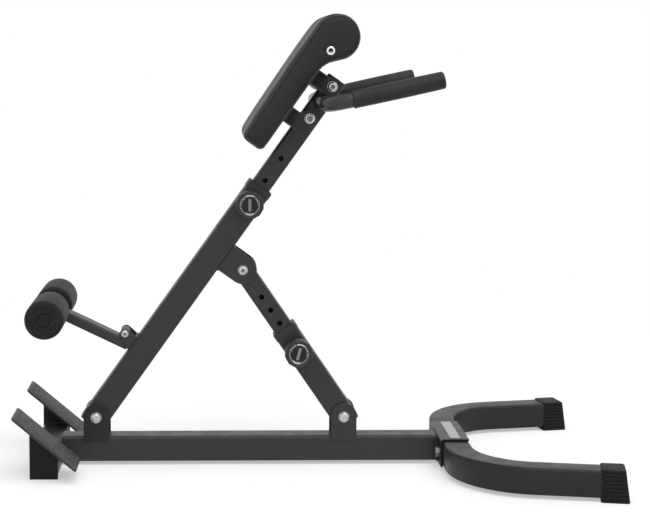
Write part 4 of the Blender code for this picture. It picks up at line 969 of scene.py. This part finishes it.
def pad_edge_ring(side, face, sense, shrink, sine, cosine):
    """One ring of a pad's rounded edge; on the outer side its radius grows towards the front."""
    rings = []
    for radius in (PAD_EDGE_RADIUS, PAD_EDGE_RADIUS if sense > 0 else PAD_FRONT_EDGE_RADIUS):
        y = side * (face + sense * radius * (1 - cosine))
        rings.append([arm_point(along, y, rear)
                      for along, rear in pad_outline(shrink + radius * (1 - sine))])
    ring = []
    for small, (along, rear), large in zip(rings[0], pad_outline(shrink), rings[1]):
        share = min(1.0, max(0.0, (rear - PAD_BACK_TOP - PAD_EDGE_RADIUS) / PAD_EDGE_BLEND))
        ring.append(small.lerp(large, share * share * (3 - 2 * share)))
    return ring


def pad_form(side, shrink):
    """A closed pad form with round edges, a little smaller than the part's."""
    faces = ((PAD_INNER_HALF + shrink, 1), (PAD_INNER_HALF + PAD_WIDTH - shrink, -1))
    return closed_form([pad_edge_ring(side, face, sense, shrink, sine, cosine)
                        for face, sense in faces for sine, cosine in quarter(6)[::sense]])


def inflate(cover, held_places):
    """Remeshes a cover and blows it up as cloth, held at the board and the given places, up to a cap."""
    remesh = cover.modifiers.new("even_cloth", "REMESH")
    remesh.mode = "VOXEL"
    remesh.voxel_size = PAD_VOXEL
    apply_modifiers(cover)
    mesh = cover.data
    held = cover.vertex_groups.new(name="held_by_board_and_seams")
    places = KDTree(len(held_places))
    for index, (place, reach) in enumerate(held_places):
        places.insert(place, index)
    places.balance()
    for vertex in mesh.vertices:
        along = (vertex.co - main_pivot).dot(arm_along)
        rear = (vertex.co - main_pivot).dot(arm_rear)
        on_board = along < hollow_along and rear < PAD_BACK_TOP + PAD_BACK_CORNER / 2
        index, away = places.find(vertex.co)[1:]
        if on_board or away < held_places[index][1]:
            held.add([vertex.index], 1.0, "REPLACE")
    before = [vertex.co.copy() for vertex in mesh.vertices]
    cloth = cover.modifiers.new("pressure", "CLOTH")
    cloth.settings.use_pressure = True
    cloth.settings.uniform_pressure_force = PAD_PRESSURE
    cloth.settings.effector_weights.gravity = 0.0
    cloth.settings.vertex_group_mass = held.name
    cloth.settings.quality = 5
    cloth.point_cache.frame_start = 1
    cloth.point_cache.frame_end = PAD_FRAMES
    scene = bpy.context.scene
    for number in range(1, PAD_FRAMES + 1):
        scene.frame_set(number)
    apply_modifiers(cover)
    scene.frame_set(1)
    for vertex, start in zip(cover.data.vertices, before):
        moved = vertex.co - start
        if moved.length > PAD_CAP:
            vertex.co = start + moved * (PAD_CAP / moved.length)


def seam_paths(side, shrink):
    """Lines of the seams round the inner and outer side of a pad, on its rounded edges."""
    bevel = PAD_EDGE_RADIUS * (1 - math.sqrt(0.5)) + shrink
    return [[arm_point(along, side * y, rear) for along, rear in pad_outline(bevel)]
            for y in (PAD_INNER_HALF + bevel, PAD_INNER_HALF + PAD_WIDTH - bevel)]


def pad_cover(label, side):
    shrink = PAD_START_INSET
    cover = piece("pad_cover_" + label, pad_form(side, shrink), leather, "post", 60.0)
    held_places = [(place, PAD_SEAM_HOLD) for path in seam_paths(side, shrink) for place in path]
    eyelet = arm_point(EYELET_ALONG, side * (PAD_INNER_HALF + PAD_WIDTH), EYELET_OFFSET)
    inflate(cover, held_places + [(eyelet, EYELET_HOLD)])
    cover.data.shade_smooth()
    finer = cover.modifiers.new("finer", "SUBSURF")
    finer.levels = 1
    finer.render_levels = 1
    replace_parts(cover, "thigh_pad_" + label)
    return BVHTree.FromPolygons([vertex.co for vertex in cover.data.vertices],
                                [list(polygon.vertices) for polygon in cover.data.polygons])


def evenly(path, spacing):
    """A closed path with points at an even spacing."""
    points = []
    for start, end in zip(path, path[1:] + path[:1]):
        steps = max(1, round((end - start).length / spacing))
        points += [start.lerp(end, step / steps) for step in range(steps)]
    return points


def pad_piping(label, side, surface):
    """The welt that lies on the cover round each side face, with stitches beside it."""
    welt = bmesh.new()
    stitches = bmesh.new()
    for path, inward in zip(seam_paths(side, 0.0), (side, -side)):
        seated = [surface.find_nearest(place)[0] for place in evenly(path, PIPING_SPACING)]
        around = seated[-2:] + seated + seated[:2]
        smooth = [sum(around[index:index + 5], Vector()) / 5 for index in range(len(seated))]
        swept_tube(welt, smooth, PIPING_RADIUS, 8, closed=True)
        beside = [surface.find_nearest(place + ACROSS * (inward * STITCH_SETBACK))[:2] for place in smooth]
        for (start, out), (end, _) in list(zip(beside, beside[1:]))[::2]:
            lift = out * STITCH_RADIUS * 0.3
            swept_tube(stitches, [start + lift, start.lerp(end, 0.5) + lift * 2, end + lift],
                       STITCH_RADIUS, 5)
    piece("pad_piping_" + label, welt, piping, "post", 60.0)
    piece("pad_stitches_" + label, stitches, thread, "post", 60.0)


def pad_eyelet(label, side):
    """A rolled chrome vent ring with a steel disc inside, darkened as painted shade."""
    origin = arm_point(EYELET_ALONG, side * (PAD_INNER_HALF + PAD_WIDTH), EYELET_OFFSET)
    middle = (EYELET_RING + EYELET_HOLE) / 2
    half = (EYELET_RING - EYELET_HOLE) / 2
    ring = [(EYELET_LIFT + EYELET_HEIGHT * math.sin(turn), middle + half * math.cos(turn))
            for turn in [2 * math.pi * step / 16 for step in range(16)]]
    eyelet = piece("vent_eyelet_" + label, turned_form(ring, origin, ACROSS * side, 40, closed=True), chrome,
                   "post", 60.0)
    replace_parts(eyelet, "pad_eyelet_" + label)
    rim = EYELET_HOLE + 0.001
    disc = [(-0.003, 0.0), (-0.003, rim), (-0.0005, rim), (-0.0005, 0.0)]
    # The disc's dark steel is painted shade
    piece("vent_plug_" + label, turned_form(disc, origin, ACROSS * side, 24), painted_shade_steel, "post")


def pad_board(label):
    """The pad's board, covered with black cloth on its open face and stapled round its rim."""
    node = "pad_board_" + label
    start, end = span(node, main_pivot, arm_along)
    low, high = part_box(node)
    width = high.y - low.y
    length = end - start
    tilt = math.atan2(PAD_BACK_TOP - PAD_BOTTOM_BACK, hollow_along - PAD_BOTTOM_ALONG)
    along = arm_along * math.cos(tilt) + arm_rear * math.sin(tilt)
    deep = arm_rear * math.cos(tilt) - arm_along * math.sin(tilt)
    face, back = span(node, main_pivot, deep)
    thick = back - face
    middle = main_pivot + deep * face
    middle += along * ((start + end) / 2 / math.cos(tilt) - (middle - main_pivot).dot(along))
    middle += ACROSS * ((low.y + high.y) / 2)
    levels = ((0.0, 0.0012), (0.0006, 0.0003), (0.0016, 0.0), (thick - 0.0005, 0.0), (thick, 0.0005))
    form = layered_plate(middle, along, ACROSS, deep, (length - 0.0006, width), 0.006, levels)
    board = piece("cloth_backed_board_" + label, form, backing, "post")
    paint(board, plywood, lambda polygon: (polygon.center - main_pivot).dot(deep) - face > thick * 0.8)
    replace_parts(board, node)
    form = bmesh.new()
    half_long = length / 2 - STAPLE_INSET
    half_wide = width / 2 - STAPLE_INSET
    for run, one, other, half_one, half_other in ((length, along, ACROSS, half_long, half_wide),
                                                  (width, ACROSS, along, half_wide, half_long)):
        count = round(run / STAPLE_PITCH)
        for sense in (-1, 1):
            for step in range(count):
                spot = middle + other * (sense * half_other) - deep * STAPLE_SUNK
                spot += one * (half_one * (2 * (step + 0.5) / count - 1))
                swept_tube(form, [spot - one * STAPLE_HALF, spot + one * STAPLE_HALF], STAPLE_RADIUS, 6)
    piece("pad_staples_" + label, form, steel, "post")


for pad_label, _ in SIDES:
    pad_board(pad_label)
    grip_sheet(pad_label)
for pad_label, pad_side in SIDES:
    pad_piping(pad_label, pad_side, pad_cover(pad_label, pad_side))
    pad_eyelet(pad_label, pad_side)

# Foam rollers


def foam_roller(label):
    """A foam sleeve with soft edges and a moulded ring on each end."""
    low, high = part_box("foam_roller_" + label)
    radius = (high.x - low.x) / 2
    half = (high.y - low.y) / 2
    groove = half - ROLLER_GROOVE_DEPTH
    ends = [(half - ROLLER_BORE_SETBACK, ROLLER_BORE), (half - 0.0018, ROLLER_BORE + 0.0006),
            (half - 0.0004, ROLLER_BORE + 0.0030), (half, radius * 0.52), (groove, radius * 0.55),
            (groove, radius * 0.58), (half, radius * 0.61)]
    ends += [(half - ROLLER_EDGE * (1 - cosine), radius - ROLLER_EDGE * (1 - sine))
             for sine, cosine in quarter(6)]
    profile = [(-along, reach) for along, reach in ends] + ends[::-1]
    form = turned_form(profile, (low + high) / 2, ACROSS, 72, closed=True)
    roller = piece("foam_sleeve_" + label, form, foam, "roller_" + label, 50.0)
    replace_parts(roller, "foam_roller_" + label)


def roller_plug(label, side):
    """A dark ringed plug on the axle's end, just inside the sleeve's bore."""
    low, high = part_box("foam_roller_" + label)
    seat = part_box("roller_axle")[1].y + GAP
    origin = axis_point("foam_roller_" + label, side * seat)
    deep = max(high.y, -low.y) - ROLLER_PLUG_SETBACK - seat
    radius = ROLLER_PLUG_RADIUS
    profile = [(0.0, 0.0), (0.0, radius), (deep - 0.0008, radius), (deep - 0.0002, radius - 0.0007),
               (deep, radius - 0.0016), (deep, radius - 0.0040), (deep - 0.0004, radius - 0.0044),
               (deep - 0.0004, radius - 0.0050), (deep, radius - 0.0054), (deep + 0.0003, 0.0)]
    form = turned_form(profile, origin, ACROSS * side, 40)
    piece("axle_plug_" + label, form, foam, "roller_arm", 50.0)


for roller_label, roller_side in SIDES:
    foam_roller(roller_label)
    roller_plug(roller_label, roller_side)

# Knobs, bolts, nuts and pegs


def knob(name, body, lean):
    """A pull knob with a softly lobed rim, a domed edge and a printed face."""
    low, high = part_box(name)
    centre = (low + high) / 2
    deep = high.y - low.y

    def lobes(angle, along):
        share = min(1.0, along / (0.15 * deep), max(0.0, (deep - along) / (0.18 * deep)))
        return -KNOB_LOBE_DEPTH * share * (1 - math.cos(KNOB_LOBES * angle)) / 2

    turns = quarter(6)
    profile = [(deep * 0.16 * (1 - cosine), KNOB_RADIUS * (0.84 + 0.16 * sine)) for sine, cosine in turns]
    profile += [(deep * (0.82 + 0.18 * sine), KNOB_RADIUS * (0.90 + 0.10 * cosine)) for sine, cosine in turns]
    profile += [(deep, KNOB_FACE_RADIUS + 0.0006), (deep - 0.0004, KNOB_FACE_RADIUS),
                (deep - KNOB_FACE_RECESS, KNOB_FACE_RADIUS - 0.0003), (deep - KNOB_FACE_RECESS, 0.0)]
    form = bmesh.new()
    rings = turned_rings(form, profile, axis_point(name, high.y), -ACROSS, 144, lobes)
    join_rings(form, rings)
    form.faces.new(rings[0])
    made = piece(name + "_grip", form, plastic, body)

    def printed(face):
        away = face.center - centre
        in_front = face.normal.y < -0.9 and face.center.y < low.y + 2 * KNOB_FACE_RECESS
        return in_front and math.hypot(away.x, away.z) < KNOB_FACE_RADIUS - 0.0003

    paint(made, knob_print_material(name + "_print", centre, lean), printed)
    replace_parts(made, name)


def hexagon_reach(across_flats, angle):
    """Distance from the centre to a hexagon's edge at an angle."""
    turn = (angle + math.pi / 6) % (math.pi / 3) - math.pi / 6
    return across_flats / 2 / math.cos(turn)


def button_bolt(label, prefix, body, shank, head, height, socket_share):
    """A domed head with a hexagon socket and a washer, its shank, and the nut on the far end."""
    low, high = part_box(prefix + "_bolt")
    seat = low.y + height
    origin = axis_point(prefix + "_bolt", seat)
    washer = WASHER_THICKNESS
    socket = head * socket_share
    crown = socket + head * SOCKET_RIM
    bottom = height * SOCKET_FLOOR
    tip = seat - high.y
    outside = [(tip, 0.0), (tip, shank * 0.85), (tip + 0.0008, shank), (0.0, shank), (0.0, head),
               (washer * 0.7, head), (washer, head - 0.0004), (washer, head * 0.90)]
    outside += [(washer + (height - washer) * (0.15 + 0.85 * sine), crown + (head * 0.90 - crown) * cosine)
                for sine, cosine in quarter(8)]
    inside = [(height, 1.0), (height - 0.0004, 0.9996), (bottom, 0.9996), (bottom, 0.0)]
    form = bmesh.new()
    rings = turned_rings(form, outside, origin, -ACROSS, BOLT_SIDES)
    rings += turned_rings(form, inside, origin, -ACROSS, BOLT_SIDES,
                          lambda angle, along: hexagon_reach(socket * math.sqrt(3), angle) - 1.0)
    join_rings(form, rings)
    made = piece(label + "_button_bolt", form, steel, body)

    def in_socket(face):
        away = face.center - origin
        return math.hypot(away.x, away.z) < socket * 1.02 and 0.0003 - height < away.y < 0.0

    # Inside the socket, dark steel as painted shade, except on the base's bolts
    paint(made, steel if body == "base" else painted_shade_steel, in_socket)
    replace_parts(made, prefix + "_bolt")
    lock_nut(label + "_lock_nut", prefix + "_nut", body, shank + GAP)


def lock_nut(name, node, body, bore):
    """A chamfered hexagon nut with a round collar."""
    low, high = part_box(node)
    thick = high.y - low.y
    size = high - low
    flats = max(size.x, size.z) / 2 * math.sqrt(3)
    start = math.radians(30 if size.x > size.z else 60)
    start -= math.atan2(ACROSS.orthogonal().z, ACROSS.orthogonal().x)

    def corners(angle, along):
        """What a hexagon adds to the round form, between the chamfers."""
        return hexagon_reach(flats, angle + start) - flats / 2 if 0.0 < along < thick * 0.65 else 0.0

    profile = [(0.0, flats * 0.475), (thick * 0.05, flats / 2), (thick * 0.62, flats / 2),
               (thick * 0.70, flats * 0.475), (thick * 0.90, flats * 0.44), (thick, flats * 0.40),
               (thick, bore), (0.0, bore)]
    form = turned_form(profile, axis_point(node, low.y), ACROSS, BOLT_SIDES, closed=True, wobble=corners)
    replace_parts(piece(name, form, steel, body, 25.0), node)


def collar_peg(name, tube, pivot, along, half_tube, body):
    """The domed peg of a collar, which snaps into the hole in the tube's right wall."""
    place = pivot + along * (span(tube, pivot, along)[1] - COLLAR_PEG_FROM_END)
    radius = COLLAR_PEG_RADIUS - 0.0002
    rim = FRAME_WALL - 0.0002
    profile = [(0.0, 0.0), (0.0, radius)]
    profile += [(rim + COLLAR_PEG_DOME * sine, radius * cosine) for sine, cosine in quarter(5)[:5]]
    profile.append((rim + COLLAR_PEG_DOME, 0.0))
    form = turned_form(profile, place - ACROSS * (half_tube - FRAME_WALL), -ACROSS, 24)
    piece(name, form, plastic, body)


knob("post_pin_knob", "post_pin", 0.0)
knob("strut_pin_knob", "strut_pin", math.radians(-15))
for bolt_facts in BUTTON_BOLTS:
    button_bolt(*bolt_facts)
collar_peg("main_collar_peg", "main_tube", main_pivot, arm_along, FRAME_TUBE / 2, "main_arm")
collar_peg("strut_collar_peg", "strut_outer_tube", strut_pivot, strut_along, STRUT_TUBE / 2, "strut_outer")

# Welds


def loop(middle, first, second, half_first, half_second):
    """One closed run round a rectangle."""
    return [([middle + first * (one * half_first) + second * (two * half_second)
              for one, two in ((1, 1), (-1, 1), (-1, -1), (1, -1))], True)]


def welds():
    """Beads where the tubes, plates, brackets and barrels are joined."""
    half = FRAME_TUBE / 2
    middle = arm_point(TOP_PIVOT_ALONG, 0.0, -half - GAP / 2)
    weld("strut_bracket_weld", loop(middle, arm_along, ACROSS, TOP_BRACKET_WIDTH / 2 + 0.0006, half - 0.0014),
         "main_arm")
    middle = arm_point((ROLLER_BRACKET_FROM + ROLLER_BRACKET_TO) / 2, 0.0, half + GAP / 2)
    reach = (ROLLER_BRACKET_TO - ROLLER_BRACKET_FROM) / 2 + 0.0004
    weld("roller_bracket_weld", loop(middle, arm_along, ACROSS, reach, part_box("roller_bracket")[1].y),
         "main_arm", BRACKET_WELD_RADIUS)
    beam_low, beam_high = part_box("base_beam")
    middle = Vector((beam_high.x, 0.0, (beam_low.z + beam_high.z) / 2))
    weld("beam_front_weld", loop(middle, ACROSS, UP, half - 0.0002, half - 0.0002), "base")
    cross_low, cross_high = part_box("rear_crossbar")
    heights = (beam_low.z + WELD_OFF_FLOOR, cross_high.z - 0.0012)
    weld("beam_rear_weld", [([Vector((beam_low.x, side * half, z)) for z in heights], False)
                            for _, side in SIDES], "base", HEAVY_WELD_RADIUS)
    for label, side in SIDES:
        corners = ((cross_low.x, WELD_OFF_FLOOR), (cross_low.x, cross_high.z),
                   (cross_high.x, cross_high.z), (cross_high.x, WELD_OFF_FLOOR))
        run = [Vector((x, side * CROSSBAR_LENGTH / 2, z)) for x, z in corners]
        weld("end_plate_weld_" + label, [(run, False)], "base")
        low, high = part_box("rear_end_plate_" + label)
        last = (high.x - low.x) / math.cos(FOOTPLATE_ANGLE) - WELD_FROM_EDGE
        runs = [([Vector((low.x, y, high.z)) + down_slope * along for along in (WELD_FROM_EDGE, last)], False)
                for y in (low.y, high.y)]
        weld("footplate_weld_" + label, runs, "base", PLATE_WELD_RADIUS)
    for node, body in (("post_pin_barrel", "main_arm"), ("strut_pin_barrel", "strut_outer")):
        middle = axis_point(node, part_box(node)[1].y - 0.0002)
        weld_ring(node + "_weld", middle, BARREL_RADIUS + 0.0005, body)
    for label, side in SIDES:
        middle = axis_point("roller_axle", side * (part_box("roller_arm")[1].y + 0.0004))
        weld_ring("axle_weld_" + label, middle, AXLE_WELD_REACH, "roller_arm", AXLE_WELD_RADIUS)


welds()

# Floor, light and camera


def floor():
    """A pale floor that keeps the bench's shadow and fades into the white ground."""
    form = bmesh.new()
    bmesh.ops.create_grid(form, x_segments=1, y_segments=1, size=FLOOR_HALF)
    made = solid_object("studio_floor", form)
    look = Look(bpy.data.materials.new("studio_floor_white"))
    look.tree.nodes.clear()
    look.find_place()
    direct = look.seen_directly()
    matt = look.add("BsdfDiffuse", Color=(0.80, 0.80, 0.80, 1.0)).outputs[0]
    glow = look.add("Emission", Color=WHITE, Strength=look.times(direct, FLOOR_GLOW)).outputs[0]
    shaded = look.add("AddShader", _0=matt, _1=glow).outputs[0]
    ground = look.add("Emission", Color=WHITE, Strength=direct).outputs[0]
    away = look.combine("DISTANCE", look.place, (0.0, 0.0, 0.0))["Value"]
    share = look.between(away, FLOOR_SHADE_RADIUS, FLOOR_SHADE_RADIUS * 1.8)
    both = look.add("MixShader", _0=share, _1=shaded, _2=ground).outputs[0]
    look.add("OutputMaterial", Surface=both)
    made.data.materials.append(look.owner)


def world():
    """White for what is seen or mirrored, and a softer sky for what it lights."""
    look = Look(bpy.data.worlds.new("studio_sky"))
    bpy.context.scene.world = look.owner
    background = look.tree.nodes["Background"].inputs
    background["Color"].default_value = WHITE
    strength = look.calculate("MULTIPLY_ADD", look.seen_directly(), 1.0 - SKY_FOR_SHADE, SKY_FOR_SHADE)
    look.feed(background["Strength"], strength)


def sun(name, strength, spread, turn):
    """A soft lamp far away, with its spread and turn in degrees."""
    lamp = bpy.data.lights.new(name, "SUN")
    lamp.energy = strength
    lamp.angle = math.radians(spread)
    add_object(name, lamp).rotation_euler = [math.radians(angle) for angle in turn]


def camera():
    """Camera at the photograph's viewpoint."""
    lens = bpy.data.cameras.new("photo_view")
    lens.lens = CAMERA_LENS
    lens.sensor_width = CAMERA_SENSOR
    lens.shift_x = CAMERA_SHIFT[0]
    lens.shift_y = CAMERA_SHIFT[1]
    lens.clip_end = 100.0
    made = add_object("photo_view", lens)
    made.location = CAMERA_PLACE
    made.rotation_euler = [math.radians(angle) for angle in CAMERA_TURN]
    bpy.context.scene.camera = made


floor()
world()
sun("key_light", KEY_STRENGTH, KEY_SPREAD, KEY_TURN)
sun("fill_light", FILL_STRENGTH, FILL_SPREAD, FILL_TURN)
camera()
bpy.context.scene.view_settings.view_transform = "Standard"
